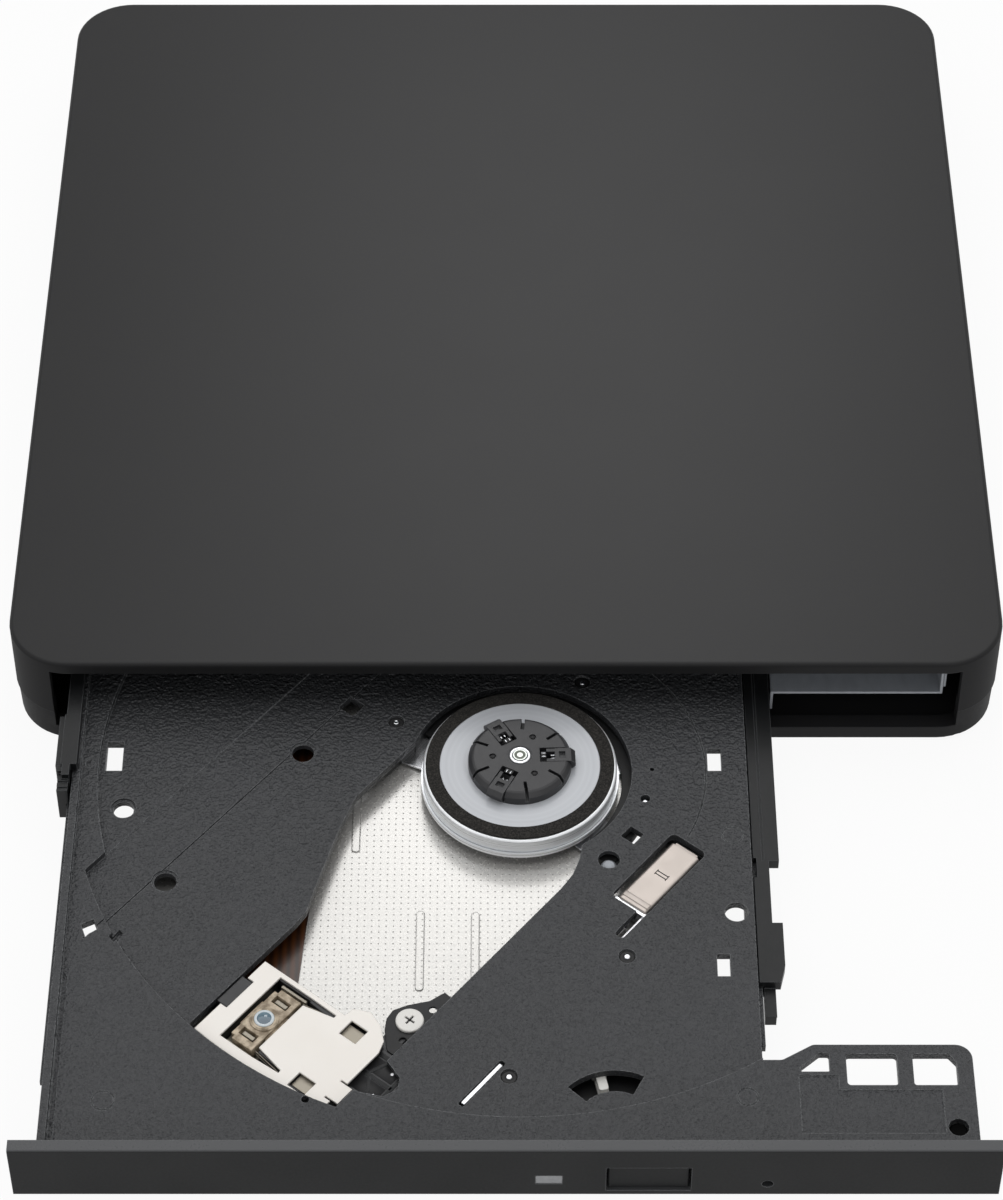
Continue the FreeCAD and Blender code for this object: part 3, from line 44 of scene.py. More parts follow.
def colour(red, green, blue):
    """Eight-bit screen colour as the linear colour a shader takes."""
    def linear(level):
        share = level / 255.0
        return share / 12.92 if share <= 0.04045 else ((share + 0.055) / 1.055) ** 2.4
    return (linear(red), linear(green), linear(blue), 1.0)


# Shader nodes in short form

def set_input(tree, socket, value):
    """Give a socket a plain value, or link it to another node's output."""
    if isinstance(value, bpy.types.NodeSocket):
        tree.links.new(value, socket)
    else:
        socket.default_value = value


def set_inputs(tree, node, **values):
    """Set or link a node's inputs by name, with _ for each space in the name."""
    for label, value in values.items():
        set_input(tree, node.inputs[label.replace("_", " ")], value)


def math_node(tree, operation, first, second=None, clamp=False):
    node = tree.nodes.new("ShaderNodeMath")
    node.operation = operation
    node.use_clamp = clamp
    set_input(tree, node.inputs[0], first)
    if second is not None:
        set_input(tree, node.inputs[1], second)
    return node.outputs[0]


def vector_math(tree, operation, first, second=None):
    node = tree.nodes.new("ShaderNodeVectorMath")
    node.operation = operation
    set_input(tree, node.inputs[0], first)
    if second is not None:
        set_input(tree, node.inputs[1], second)
    return node


def object_coordinates(tree):
    return tree.nodes.new("ShaderNodeTexCoord").outputs["Object"]


def mapped_coordinates(tree, shift=(0.0, 0.0, 0.0), stretch=(1.0, 1.0, 1.0)):
    """Object coordinates, stretched and then shifted."""
    mapping = tree.nodes.new("ShaderNodeMapping")
    set_inputs(tree, mapping, Vector=object_coordinates(tree), Location=shift, Scale=stretch)
    return mapping.outputs["Vector"]


def along(tree, vector, axis):
    """One coordinate of a vector."""
    split = tree.nodes.new("ShaderNodeSeparateXYZ")
    tree.links.new(vector, split.inputs[0])
    return split.outputs[axis]


def noise(tree, scale, detail=2.0, place=None):
    """Cloudy noise from 0 to 1, in object coordinates unless a place is given."""
    node = tree.nodes.new("ShaderNodeTexNoise")
    place = object_coordinates(tree) if place is None else place
    set_inputs(tree, node, Vector=place, Scale=scale, Detail=detail)
    return node.outputs["Fac"]


def bands(tree, axis, scale, distortion=0.0):
    """Fine parallel bands across one axis of the object, from 0 to 1."""
    node = tree.nodes.new("ShaderNodeTexWave")
    node.bands_direction = axis
    set_inputs(tree, node, Vector=object_coordinates(tree), Scale=scale, Distortion=distortion)
    return node.outputs["Fac"]


def mix_colour(tree, factor, low, high):
    """Colour that goes from low to high as the factor goes from 0 to 1."""
    node = tree.nodes.new("ShaderNodeMix")
    node.data_type = "RGBA"
    set_inputs(tree, node, Factor=factor, A=low, B=high)
    return node.outputs["Result"]


def value_range(tree, value, low, high, start=0.35, end=0.65):
    """Value that goes from low to high as the given one goes from start to end."""
    node = tree.nodes.new("ShaderNodeMapRange")
    set_inputs(tree, node, Value=value, From_Min=start, From_Max=end, To_Min=low, To_Max=high)
    return node.outputs["Result"]


def bump(tree, height, strength, distance, normal=None):
    node = tree.nodes.new("ShaderNodeBump")
    set_inputs(tree, node, Height=height, Strength=strength, Distance=distance)
    if normal is not None:
        tree.links.new(normal, node.inputs["Normal"])
    return node.outputs["Normal"]


# Node groups shared by the finishes

def new_group(name, inputs, outputs):
    """Node group with number inputs, given with their defaults, and outputs, given with their kinds."""
    group = bpy.data.node_groups.new(name, "ShaderNodeTree")
    for label, value in inputs.items():
        socket = group.interface.new_socket(name=label, in_out="INPUT", socket_type="NodeSocketFloat")
        socket.default_value = value
    for label, kind in outputs.items():
        group.interface.new_socket(name=label, in_out="OUTPUT", socket_type=kind)
    return group, group.nodes.new("NodeGroupInput").outputs, group.nodes.new("NodeGroupOutput").inputs


def moulded_grain_group():
    """Fine leather grain of moulded plastic: a height and a slow shade change."""
    group, given, result = new_group(
        "moulded_grain", {"Grain Scale": 2600.0, "Patch Scale": 60.0},
        {"Height": "NodeSocketFloat", "Shade": "NodeSocketFloat"})
    cells = group.nodes.new("ShaderNodeTexVoronoi")
    cells.feature = "SMOOTH_F1"
    set_inputs(group, cells, Vector=object_coordinates(group), Scale=given["Grain Scale"], Smoothness=0.6)
    fine = noise(group, math_node(group, "MULTIPLY", given["Grain Scale"], 0.6), detail=3.0)
    pebbles = math_node(group, "MULTIPLY", cells.outputs["Distance"], 0.6)
    group.links.new(math_node(group, "ADD", pebbles, fine), result["Height"])
    speck = math_node(group, "MULTIPLY", fine, 0.55)
    slow = math_node(group, "MULTIPLY", noise(group, given["Patch Scale"]), 0.45)
    group.links.new(math_node(group, "ADD", speck, slow), result["Shade"])
    return group


def soft_edge_group():
    """Rounded look of a moulded edge: the softened normal, and a mask along the edge for painted highlights
    and shade.
    """
    group, given, result = new_group(
        "soft_edge", {"Gain": 4.0}, {"Normal": "NodeSocketVector", "Edge": "NodeSocketFloat"})
    bevel = group.nodes.new("ShaderNodeBevel")
    bevel.samples = 4
    bevel.inputs["Radius"].default_value = 0.22 * MM
    soft = bevel.outputs["Normal"]
    flat = group.nodes.new("ShaderNodeNewGeometry").outputs["Normal"]
    agreement = vector_math(group, "DOT_PRODUCT", soft, flat).outputs["Value"]
    bend = math_node(group, "SUBTRACT", 1.0, agreement, clamp=True)
    group.links.new(math_node(group, "MULTIPLY", bend, given["Gain"], clamp=True), result["Edge"])
    group.links.new(soft, result["Normal"])
    return group


def dot_grid_group():
    """Regular grid of small pressed dots in the plane of the tray, as a mask; Size is a share of the pitch."""
    group, given, result = new_group(
        "dot_grid", {"Pitch": 1.017 * MM, "Size": 0.13}, {"Dots": "NodeSocketFloat"})
    place = object_coordinates(group)
    squares = []
    for axis in ("X", "Y"):
        steps = math_node(group, "DIVIDE", along(group, place, axis), given["Pitch"])
        offset = math_node(group, "SUBTRACT", math_node(group, "FRACT", steps), 0.5)
        squares.append(math_node(group, "MULTIPLY", offset, offset))
    distance = math_node(group, "SQRT", math_node(group, "ADD", *squares))
    inside = math_node(group, "SUBTRACT", given["Size"], distance)
    group.links.new(math_node(group, "MULTIPLY", inside, 14.0, clamp=True), result["Dots"])
    return group


def turned_rings_group():
    """Fine concentric tool marks round the turntable axis, as a height."""
    group, given, result = new_group("turned_rings", {"Density": 5200.0}, {"Height": "NodeSocketFloat"})
    moved = vector_math(group, "SUBTRACT", object_coordinates(group), HUB).outputs[0]
    squares = [math_node(group, "MULTIPLY", along(group, moved, axis), along(group, moved, axis))
               for axis in ("X", "Y")]
    radius = math_node(group, "SQRT", math_node(group, "ADD", *squares))
    lean = math_node(group, "MULTIPLY", along(group, moved, "Z"), 0.7)
    both = math_node(group, "ADD", radius, lean)
    rings = group.nodes.new("ShaderNodeTexNoise")
    rings.noise_dimensions = "1D"
    set_inputs(group, rings, W=math_node(group, "MULTIPLY", both, given["Density"]), Scale=1.0, Detail=2.0)
    group.links.new(rings.outputs["Fac"], result["Height"])
    return group


GRAIN = moulded_grain_group()
EDGE = soft_edge_group()
DOTS = dot_grid_group()
RINGS = turned_rings_group()


def place_group(tree, group, **values):
    """Put a node group into a tree and give its outputs."""
    node = tree.nodes.new("ShaderNodeGroup")
    node.node_tree = group
    set_inputs(tree, node, **values)
    return node.outputs


# Finishes

def new_material(name):
    material = bpy.data.materials.new(name)
    material.use_nodes = True
    tree = material.node_tree
    return material, tree, tree.nodes["Principled BSDF"]


def leather_near_case(tree, normal):
    """The tray's moulded leather pattern grows stronger towards the end that stays in the case."""
    pattern = place_group(tree, GRAIN, Grain_Scale=1900.0)["Height"]
    place = along(tree, object_coordinates(tree), "Y")
    strength = value_range(tree, place, 0.04, 1.0, start=-62.0 * MM, end=-30.0 * MM)
    return bump(tree, pattern, strength, 0.3 * MM, normal)


def facing_up(tree):
    """1 on faces that point up, 0 on upright ones."""
    normal = tree.nodes.new("ShaderNodeNewGeometry").outputs["Normal"]
    return value_range(tree, along(tree, normal, "Z"), 0.0, 1.0, start=0.4, end=0.9)


def duller_sides(tree, rough):
    """The top face is polished in the mould, the upright sides are left dull."""
    side = math_node(tree, "SUBTRACT", 1.0, facing_up(tree))
    return math_node(tree, "ADD", rough, math_node(tree, "MULTIPLY", side, 0.4))


def moulded_plastic(name, dark, light, rim, roughness, specular, gain, grain=2600.0, depth=0.25,
                    relief=0.06 * MM, uneven=0.05, painted_top_light=None, matt_sides=False, leather=False):
    """Moulded plastic: grain, slow shade changes and a highlight painted along the edges.

    dark and light are the body's shades, rim is the colour of the highlight painted along the edges and gain
    says how far it spreads. grain, depth and relief are the fineness, strength and height of the grain, and
    uneven is how much the roughness varies. A colour given for faces that point up paints them: painted light
    on the top.
    """
    material, tree, skin = new_material(name)
    texture = place_group(tree, GRAIN, Grain_Scale=grain)
    edge = place_group(tree, EDGE, Gain=gain)
    body = mix_colour(tree, texture["Shade"], dark, light)
    # Faces that point up can take a lighter colour: painted light on the top.
    if painted_top_light is not None:
        body = mix_colour(tree, facing_up(tree), body, painted_top_light)
    rough = value_range(tree, texture["Shade"], roughness - uneven, roughness + uneven)
    if matt_sides:
        rough = duller_sides(tree, rough)
    normal = bump(tree, texture["Height"], depth, relief, edge["Normal"])
    if leather:
        normal = leather_near_case(tree, normal)
    # The rim colour along the edges is a painted highlight.
    set_inputs(tree, skin, Base_Color=mix_colour(tree, edge["Edge"], body, rim), Roughness=rough,
               Specular_IOR_Level=specular, Normal=normal)
    return material


def sheet_metal(name, low, high, roughness, scale, stretch=(1.0, 1.0, 1.0), depth=0.1, metal=1.0):
    """Plated or bright sheet: faint cloudy tone and a rolled grain along one direction."""
    material, tree, skin = new_material(name)
    clouds = noise(tree, scale, detail=4.0, place=mapped_coordinates(tree, stretch=stretch))
    edge = place_group(tree, EDGE, Gain=2.0)
    set_inputs(tree, skin, Base_Color=mix_colour(tree, clouds, low, high), Metallic=metal,
               Roughness=value_range(tree, clouds, roughness - 0.06, roughness + 0.08),
               Normal=bump(tree, clouds, depth, 0.1 * MM, edge["Normal"]))
    return material


def pressed_shield():
    """Bright steel of the plate under the tray, its pressed dot grid, and painted shade in the dots and on the
    edges.
    """
    material, tree, skin = new_material("pressed_shield")
    dots = place_group(tree, DOTS)["Dots"]
    edge = place_group(tree, EDGE, Gain=3.0)
    clouds = noise(tree, 2600.0, detail=4.0)
    sheet = mix_colour(tree, clouds, colour(172, 171, 169), colour(206, 204, 200))
    # The pressed dots are painted darker: painted shade in the dimples.
    sheet_with_painted_dot_shade = mix_colour(tree, dots, sheet, colour(138, 136, 134))
    # The shield's edges, the ribs' sides among them, are painted darker: painted shade.
    painted_edge_shade = mix_colour(tree, edge["Edge"], sheet_with_painted_dot_shade, colour(96, 95, 94))
    set_inputs(tree, skin, Base_Color=painted_edge_shade, Metallic=0.45, Roughness=value_range(tree, clouds, 0.22, 0.28),
               Normal=bump(tree, dots, 0.4, 0.08 * MM, edge["Normal"]))
    return material


def turned_shaft_end():
    """End of the spindle shaft: bright centre, a dark ring of painted shade for a turned groove, and a bright
    edge.
    """
    material, tree, skin = new_material("turned_shaft_end")
    flat = mapped_coordinates(tree, shift=(-HUB.x, -HUB.y, 0.0), stretch=(1.0, 1.0, 0.0))
    radius = vector_math(tree, "LENGTH", flat).outputs["Value"]
    # The dark ring between the bright centre and the bright edge is painted shade.
    painted_groove_shade = value_range(tree, radius, 0.0, 1.0, start=0.35 * MM, end=0.45 * MM)
    rim = value_range(tree, radius, 0.0, 1.0, start=0.78 * MM, end=0.88 * MM)
    centre = mix_colour(tree, painted_groove_shade, colour(208, 212, 206), colour(70, 74, 68))
    rings = place_group(tree, RINGS)["Height"]
    set_inputs(tree, skin, Base_Color=mix_colour(tree, rim, centre, colour(190, 194, 190)), Metallic=0.8,
               Roughness=value_range(tree, rings, 0.24, 0.36))
    return material


def turned_aluminium():
    """The motor bell: turned, satin, with fine rings."""
    material, tree, skin = new_material("turned_aluminium")
    rings = place_group(tree, RINGS)["Height"]
    set_inputs(tree, skin, Base_Color=mix_colour(tree, rings, colour(222, 224, 227), colour(244, 246, 248)),
               Metallic=0.45, Roughness=value_range(tree, rings, 0.26, 0.36),
               Normal=bump(tree, rings, 0.12, 0.05 * MM))
    return material


def table_ring_plastic():
    """Light grey ring of the turntable, smooth with very faint rings."""
    material, tree, skin = new_material("table_ring_plastic")
    rings = place_group(tree, RINGS, Density=1500.0)["Height"]
    edge = place_group(tree, EDGE, Gain=2.0)
    set_inputs(tree, skin, Base_Color=mix_colour(tree, rings, colour(186, 189, 194), colour(200, 203, 208)),
               Roughness=0.32, Normal=bump(tree, rings, 0.05, 0.04 * MM, edge["Normal"]))
    return material


def speckled_rubber():
    """The friction ring that carries the disc: dark rubber with fine pale specks."""
    material, tree, skin = new_material("speckled_rubber")
    specks = noise(tree, 5200.0)
    mask = value_range(tree, specks, 0.0, 1.0, start=0.42, end=0.68)
    set_inputs(tree, skin, Base_Color=mix_colour(tree, mask, colour(26, 25, 24), colour(58, 56, 53)),
               Roughness=0.85, Specular_IOR_Level=0.2, Normal=bump(tree, specks, 0.5, 0.08 * MM))
    return material


def painted_sheet():
    """Warm white painted plate over the pickup."""
    material, tree, skin = new_material("painted_sheet")
    clouds = noise(tree, 120.0)
    edge = place_group(tree, EDGE, Gain=2.0)
    set_inputs(tree, skin, Base_Color=mix_colour(tree, clouds, colour(246, 240, 232), colour(254, 250, 244)),
               Roughness=0.4, Normal=bump(tree, clouds, 0.06, 0.1 * MM, edge["Normal"]))
    return material


def mottled_moulding():
    """Beige filled plastic of the lens holder, with dark mottling."""
    material, tree, skin = new_material("mottled_moulding")
    mottle = noise(tree, 900.0, detail=5.0)
    mask = value_range(tree, mottle, 0.0, 1.0, start=0.38, end=0.62)
    edge = place_group(tree, EDGE, Gain=2.0)
    set_inputs(tree, skin, Base_Color=mix_colour(tree, mask, colour(128, 112, 90), colour(200, 184, 160)),
               Roughness=0.45, Normal=bump(tree, mottle, 0.15, 0.05 * MM, edge["Normal"]))
    return material


def coated_glass():
    """Objective lens: glass with a blue-green coating, and a painted sheen that pales it towards its edge."""
    material, tree, skin = new_material("coated_glass")
    slant = tree.nodes.new("ShaderNodeLayerWeight")
    slant.inputs["Blend"].default_value = 0.4
    # The deep blue-green face-on is the coating's tint; the paler colour edge-on is a painted sheen.
    tint_and_painted_sheen = mix_colour(tree, slant.outputs["Facing"], colour(22, 62, 84), colour(96, 150, 170))
    set_inputs(tree, skin, Base_Color=tint_and_painted_sheen, Roughness=0.06, Specular_IOR_Level=0.7, Coat_Weight=0.6,
               Coat_Roughness=0.03)
    return material


def flex_film():
    """Amber film cable with its copper tracks showing through."""
    material, tree, skin = new_material("flex_film")
    tracks = bands(tree, "X", 260.0, distortion=0.4)
    set_inputs(tree, skin, Base_Color=mix_colour(tree, tracks, colour(34, 16, 5), colour(70, 36, 9)),
               Roughness=0.3, Normal=bump(tree, tracks, 0.1, 0.05 * MM))
    return material


def circuit_board():
    """Green board with tracks and small pads."""
    material, tree, skin = new_material("circuit_board")
    pads = tree.nodes.new("ShaderNodeTexBrick")
    set_inputs(tree, pads, Vector=object_coordinates(tree), Scale=260.0, Mortar_Size=0.03,
               Color1=colour(18, 70, 44), Color2=colour(24, 84, 52), Mortar=colour(52, 122, 78))
    set_inputs(tree, skin, Base_Color=pads.outputs["Color"], Roughness=0.35,
               Normal=bump(tree, pads.outputs["Fac"], 0.2, 0.04 * MM))
    return material


def wound_copper():
    """Stator windings: fine turns of lacquered wire."""
    material, tree, skin = new_material("wound_copper")
    turns = bands(tree, "Z", 1100.0)
    set_inputs(tree, skin, Base_Color=mix_colour(tree, turns, colour(96, 44, 20), colour(196, 112, 66)),
               Metallic=0.9, Roughness=0.35, Normal=bump(tree, turns, 0.5, 0.1 * MM))
    return material


def milky_light_guide():
    """Light guide of the status lamp, milky clear plastic."""
    material, tree, skin = new_material("milky_light_guide")
    clouds = noise(tree, 900.0)
    set_inputs(tree, skin, Base_Color=mix_colour(tree, clouds, colour(126, 128, 131), colour(158, 160, 163)),
               Roughness=0.25, Coat_Weight=0.3)
    return material


# The third colour of each moulded plastic is a highlight painted along its edges.
CASE_PLASTIC = moulded_plastic(
    "case_plastic", colour(20, 20, 21), colour(26, 26, 27), colour(84, 85, 87),
    roughness=0.31, uneven=0.01, specular=0.19, grain=3600.0, depth=0.06, gain=1.2, matt_sides=True)
LOWER_CASE = moulded_plastic(
    "lower_case_plastic", colour(22, 22, 23), colour(30, 30, 31), colour(70, 71, 73),
    roughness=0.6, specular=0.14, grain=3600.0, depth=0.06, gain=1.2)
TRAY_PLASTIC = moulded_plastic(
    "tray_plastic", colour(39, 40, 41), colour(67, 68, 71), colour(142, 144, 146),
    roughness=0.4, specular=0.31, grain=3000.0, depth=1.0, relief=0.26 * MM, gain=3.0, leather=True)
# The bezel's top faces are painted lighter than its front: painted light on the top.
BEZEL_PLASTIC = moulded_plastic(
    "bezel_plastic", colour(14, 15, 16), colour(21, 22, 23), colour(122, 124, 126), painted_top_light=colour(74, 75, 77),
    roughness=0.3, specular=0.3, grain=4200.0, depth=0.08, gain=4.0, matt_sides=True)
RAIL_PLASTIC = moulded_plastic(
    "rail_plastic", colour(16, 17, 18), colour(26, 27, 28), colour(110, 112, 114),
    roughness=0.42, specular=0.22, grain=3000.0, depth=0.15, gain=2.5)
FRAME_PLASTIC = moulded_plastic(
    "frame_plastic", colour(14, 14, 15), colour(26, 26, 27), colour(70, 71, 72),
    roughness=0.5, specular=0.3, grain=3000.0, depth=0.2, gain=2.0)
HUB_PLASTIC = moulded_plastic(
    "hub_plastic", colour(34, 34, 36), colour(46, 46, 48), colour(112, 113, 115),
    roughness=0.4, specular=0.4, grain=4200.0, depth=0.1, gain=2.5)
CHIP_PLASTIC = moulded_plastic(
    "chip_plastic", colour(16, 16, 17), colour(26, 26, 27), colour(60, 60, 62),
    roughness=0.55, specular=0.3, grain=5200.0, depth=0.15, gain=1.5)
LEVER_PLASTIC = moulded_plastic(
    "lever_plastic", colour(214, 213, 208), colour(236, 235, 230), colour(248, 248, 245),
    roughness=0.4, specular=0.4, grain=3000.0, depth=0.08, gain=1.5)
LENS_RIM = moulded_plastic(
    "lens_rim_white", colour(196, 206, 212), colour(222, 230, 234), colour(240, 244, 246),
    roughness=0.2, specular=0.5, grain=5000.0, depth=0.03, gain=1.0)
FOOT_RUBBER = moulded_plastic(
    "foot_rubber", colour(20, 20, 21), colour(34, 34, 35), colour(52, 52, 53),
    roughness=0.85, specular=0.2, grain=1800.0, depth=0.5, gain=1.0)
# Near-black finish for the disc of painted shade in the wing's hole.
HOLE_SHADE_BLACK = moulded_plastic(
    "hole_shade_black", colour(7, 7, 7), colour(13, 13, 13), colour(26, 26, 26),
    roughness=0.85, specular=0.05, gain=1.0)
DARK_STEEL = moulded_plastic(
    "blackened_steel", colour(24, 24, 26), colour(40, 40, 43), colour(110, 111, 114),
    roughness=0.35, specular=0.5, grain=5000.0, depth=0.08, gain=2.0)
WHITE_SCREW = moulded_plastic(
    "white_screw", colour(226, 224, 219), colour(242, 240, 235), colour(250, 249, 246),
    roughness=0.35, specular=0.4, grain=4000.0, depth=0.05, gain=1.5)

PICKUP_CAST = sheet_metal(
    "cast_pickup", colour(20, 20, 22), colour(34, 34, 36), 0.38, scale=900.0, depth=0.3, metal=0.2)
DRIVE_SHEET = sheet_metal(
    "plated_sheet", colour(148, 152, 158), colour(174, 178, 184), 0.42, scale=900.0, stretch=(1.0, 0.4, 1.0),
    metal=0.25)
INSERT_METAL = sheet_metal(
    "laser_can", colour(128, 122, 110), colour(158, 151, 138), 0.4, scale=300.0, metal=0.5)
BRIGHT_STEEL = sheet_metal(
    "bright_steel", colour(196, 197, 200), colour(222, 223, 226), 0.26, scale=160.0, stretch=(1.0, 0.3, 1.0))
MOTOR_CAN = sheet_metal(
    "motor_can", colour(150, 142, 136), colour(176, 168, 162), 0.4, scale=260.0, metal=0.8)
SHAFT_STEEL = sheet_metal(
    "polished_shaft", colour(206, 208, 212), colour(228, 230, 233), 0.16, scale=240.0, depth=0.04)

HOLDER_MOULDING = mottled_moulding()

FINISHES = {
    CASE_PLASTIC: ("top_cover",),
    LOWER_CASE: ("bottom_cover",),
    FOOT_RUBBER: ("rubber_feet", "traverse_dampers"),
    DARK_STEEL: ("case_screws", "small_screws", "shield_screws", "traverse_screws", "rotor_magnet"),
    circuit_board(): ("interface_board", "front_board", "main_board"),
    CHIP_PLASTIC: ("board_components", "drive_connectors", "front_components", "board_chips"),
    BRIGHT_STEEL: ("usb_socket", "feed_bracket", "spindle_base", "solenoid"),
    INSERT_METAL: ("pickup_inserts",),
    DRIVE_SHEET: ("drive_chassis", "drive_lid"),
    SHAFT_STEEL: ("lock_pin", "guide_shafts", "lead_screw", "solenoid_plunger"),
    turned_shaft_end(): ("spindle_shaft",),
    RAIL_PLASTIC: ("right_guide_rail", "left_guide_rail", "right_slide_rail", "left_slide_rail",
                   "ejector_pusher"),
    flex_film(): ("chassis_flex", "tray_flexes"),
    TRAY_PLASTIC: ("tray",),
    BEZEL_PLASTIC: ("front_bezel", "eject_button"),
    milky_light_guide(): ("status_light",),
    pressed_shield(): ("tray_shield",),
    FRAME_PLASTIC: ("traverse_frame", "rack_bracket"),
    MOTOR_CAN: ("feed_motor",),
    wound_copper(): ("spindle_stator",),
    turned_aluminium(): ("rotor_bell",),
    table_ring_plastic(): ("turntable_ring",),
    speckled_rubber(): ("turntable_pad",),
    HUB_PLASTIC: ("disc_hub", "hub_claw_1", "hub_claw_2", "hub_claw_3"),
    PICKUP_CAST: ("pickup_housing",),
    painted_sheet(): ("pickup_cover",),
    HOLDER_MOULDING: ("lens_holder",),
    coated_glass(): ("objective_lens",),
    WHITE_SCREW: ("bracket_screw",),
    LEVER_PLASTIC: ("lock_lever",),
}

for finish, names in FINISHES.items():
    for name in names:
        slots = nodes[name].data.materials
        slots.clear()
        slots.append(finish)


# Small fittings modelled here: how they are made

SHARP_EDGE = math.radians(40.0)


def across(u, v, z):
    """Place on the tilted drive unit: u runs out from the spindle to the pickup, v across it, in mm."""
    cosine, sine = math.cos(TRAVERSE_TURN), math.sin(TRAVERSE_TURN)
    return HUB + Vector((u * cosine - v * sine, u * sine + v * cosine, z)) * MM


def on_hub(angle, radius, z):
    """Place round the spindle axis, with the angle in degrees and the rest in mm."""
    turn = math.radians(angle)
    return HUB + Vector((radius * math.cos(turn), radius * math.sin(turn), z)) * MM


def in_mm(x, y, z):
    """Place in the model's own axes."""
    return Vector((x, y, z)) * MM


def deselect_all():
    bpy.ops.object.select_all(action="DESELECT")


def settle(piece, name, body, finish):
    """Name a finished piece, give it its material, and let it ride on its body."""
    bpy.ops.object.transform_apply(location=True, rotation=True, scale=True)
    bpy.ops.object.shade_smooth_by_angle(angle=SHARP_EDGE)
    piece.name = name
    piece.data.name = name
    piece.data.materials.append(finish)
    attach(piece, body)


def settle_joined(parts, name, body, finish):
    """Join several meshes into one piece and settle it."""
    deselect_all()
    for part in parts:
        part.select_set(True)
    bpy.context.view_layer.objects.active = parts[0]
    bpy.ops.object.join()
    settle(bpy.context.active_object, name, body, finish)


def soft_block(centre, size, edge, turn=TRAVERSE_TURN):
    """Small block with rounded edges, turned as the drive unit is; size and edge in mm."""
    deselect_all()
    bpy.ops.mesh.primitive_cube_add(size=1.0, location=centre, rotation=(0.0, 0.0, turn))
    block = bpy.context.active_object
    block.scale = Vector(size) * MM
    bpy.ops.object.transform_apply(location=False, rotation=False, scale=True)
    rounding = block.modifiers.new("rounding", "BEVEL")
    rounding.width = edge * MM
    rounding.segments = 2
    bpy.ops.object.modifier_apply(modifier=rounding.name)
    return block


def turned_collar(centre, middle, half, height):
    """Ring turned round a vertical axis, with a rounded section.

    middle is its middle radius, half its section's half width and height its section's height, in mm.
    """
    deselect_all()
    bpy.ops.mesh.primitive_torus_add(location=centre, major_radius=middle * MM, minor_radius=half * MM,
                                     major_segments=64, minor_segments=12)
    collar = bpy.context.active_object
    collar.scale = (1.0, 1.0, height / (2.0 * half))
    return collar


def stud(centre, radius, height):
    """Screw end: a short round pin with a broken edge and a sunk middle; sizes in mm."""
    deselect_all()
    bpy.ops.mesh.primitive_cylinder_add(vertices=32, radius=radius * MM, depth=height * MM, location=centre)
    pin = bpy.context.active_object
    bpy.ops.object.mode_set(mode="EDIT")
    bpy.ops.mesh.select_all(action="DESELECT")
    bpy.ops.object.mode_set(mode="OBJECT")
    for face in pin.data.polygons:
        face.select = face.normal.z > 0.9
    bpy.ops.object.mode_set(mode="EDIT")
    bpy.ops.mesh.inset(thickness=radius * 0.25 * MM, depth=radius * 0.2 * MM)
    bpy.ops.mesh.inset(thickness=radius * 0.35 * MM, depth=-radius * 0.15 * MM)
    bpy.ops.object.mode_set(mode="OBJECT")
    return pin


def thin_wire(first, last, radius):
    """Straight wire between two places, with its radius in mm."""
    deselect_all()
    bpy.ops.mesh.primitive_cylinder_add(vertices=12, radius=radius * MM, depth=(last - first).length,
                                        location=(first + last) / 2)
    wire = bpy.context.active_object
    wire.rotation_euler = (last - first).to_track_quat("Z", "Y").to_euler()
    bpy.ops.object.transform_apply(location=True, rotation=True, scale=True)
    return wire


# Small fittings modelled here: where they are, in mm. Pairs are (u, v) on the tilted drive unit

LENS = (56.1, 0.55)
WIRE_ENDS = (((50.6, 2.7), (49.75, 7.4)), ((60.5, 2.7), (61.2, 7.4)))
WIRE_HEIGHTS = (7.4, 8.1)
WINDOW_ANGLES = (2.0, 122.0, 242.0)
DIMPLE_ANGLES = (62.0, 182.0, 302.0)
WINDOW_COILS = (  # radius, height, size, rounded edge
    (3.4, 12.09, (0.6, 0.16, 0.08), 0.03), (4.85, 11.5, (0.9, 0.18, 0.2), 0.05))
COIL_SIDES = (-0.3, 0.3)
CAN_JOINT = (1.9, 27.15)
CAN_JOINT_HEIGHT = 8.05
CAN_JOINT_BARS = (  # offset from the joint's middle, size
    (-0.28, 0.0, (0.16, 1.9, 0.05)), (0.28, 0.0, (0.16, 1.9, 0.05)),
    (0.0, -0.95, (1.0, 0.14, 0.05)), (0.0, 0.95, (1.0, 0.14, 0.05)))
PALE_SCREW = (43.4, 15.7)
SCREW_ENDS = ((16.5, 32.3), (42.4, 32.3), (4.1, -19.8), (-18.9, -3.5))
SCREW_END_HEIGHT = 8.3
ARM_HEIGHT = 7.7  # the arm passes under the tray as the pickup is fed, so its top stays under 7.85
ARM_BARS = (  # u, v, length, width, lean in radians
    (50.0, 18.4, 0.7, 5.2, 0.0), (53.6, 18.4, 0.7, 5.2, 0.0), (57.1, 18.4, 0.6, 4.6, 0.0),
    (53.4, 20.9, 7.2, 0.6, 0.0), (55.3, 18.3, 3.4, 0.5, 0.6), (51.8, 17.4, 3.2, 0.5, -0.4))
ARM_GAPS = (51.8, 55.3)
LEDGE_RADII = (14.7, 17.052)
LEDGE_HEIGHT = 6.4
LEDGE_ANGLES = range(-48, 148, 3)  # degrees round the spindle axis


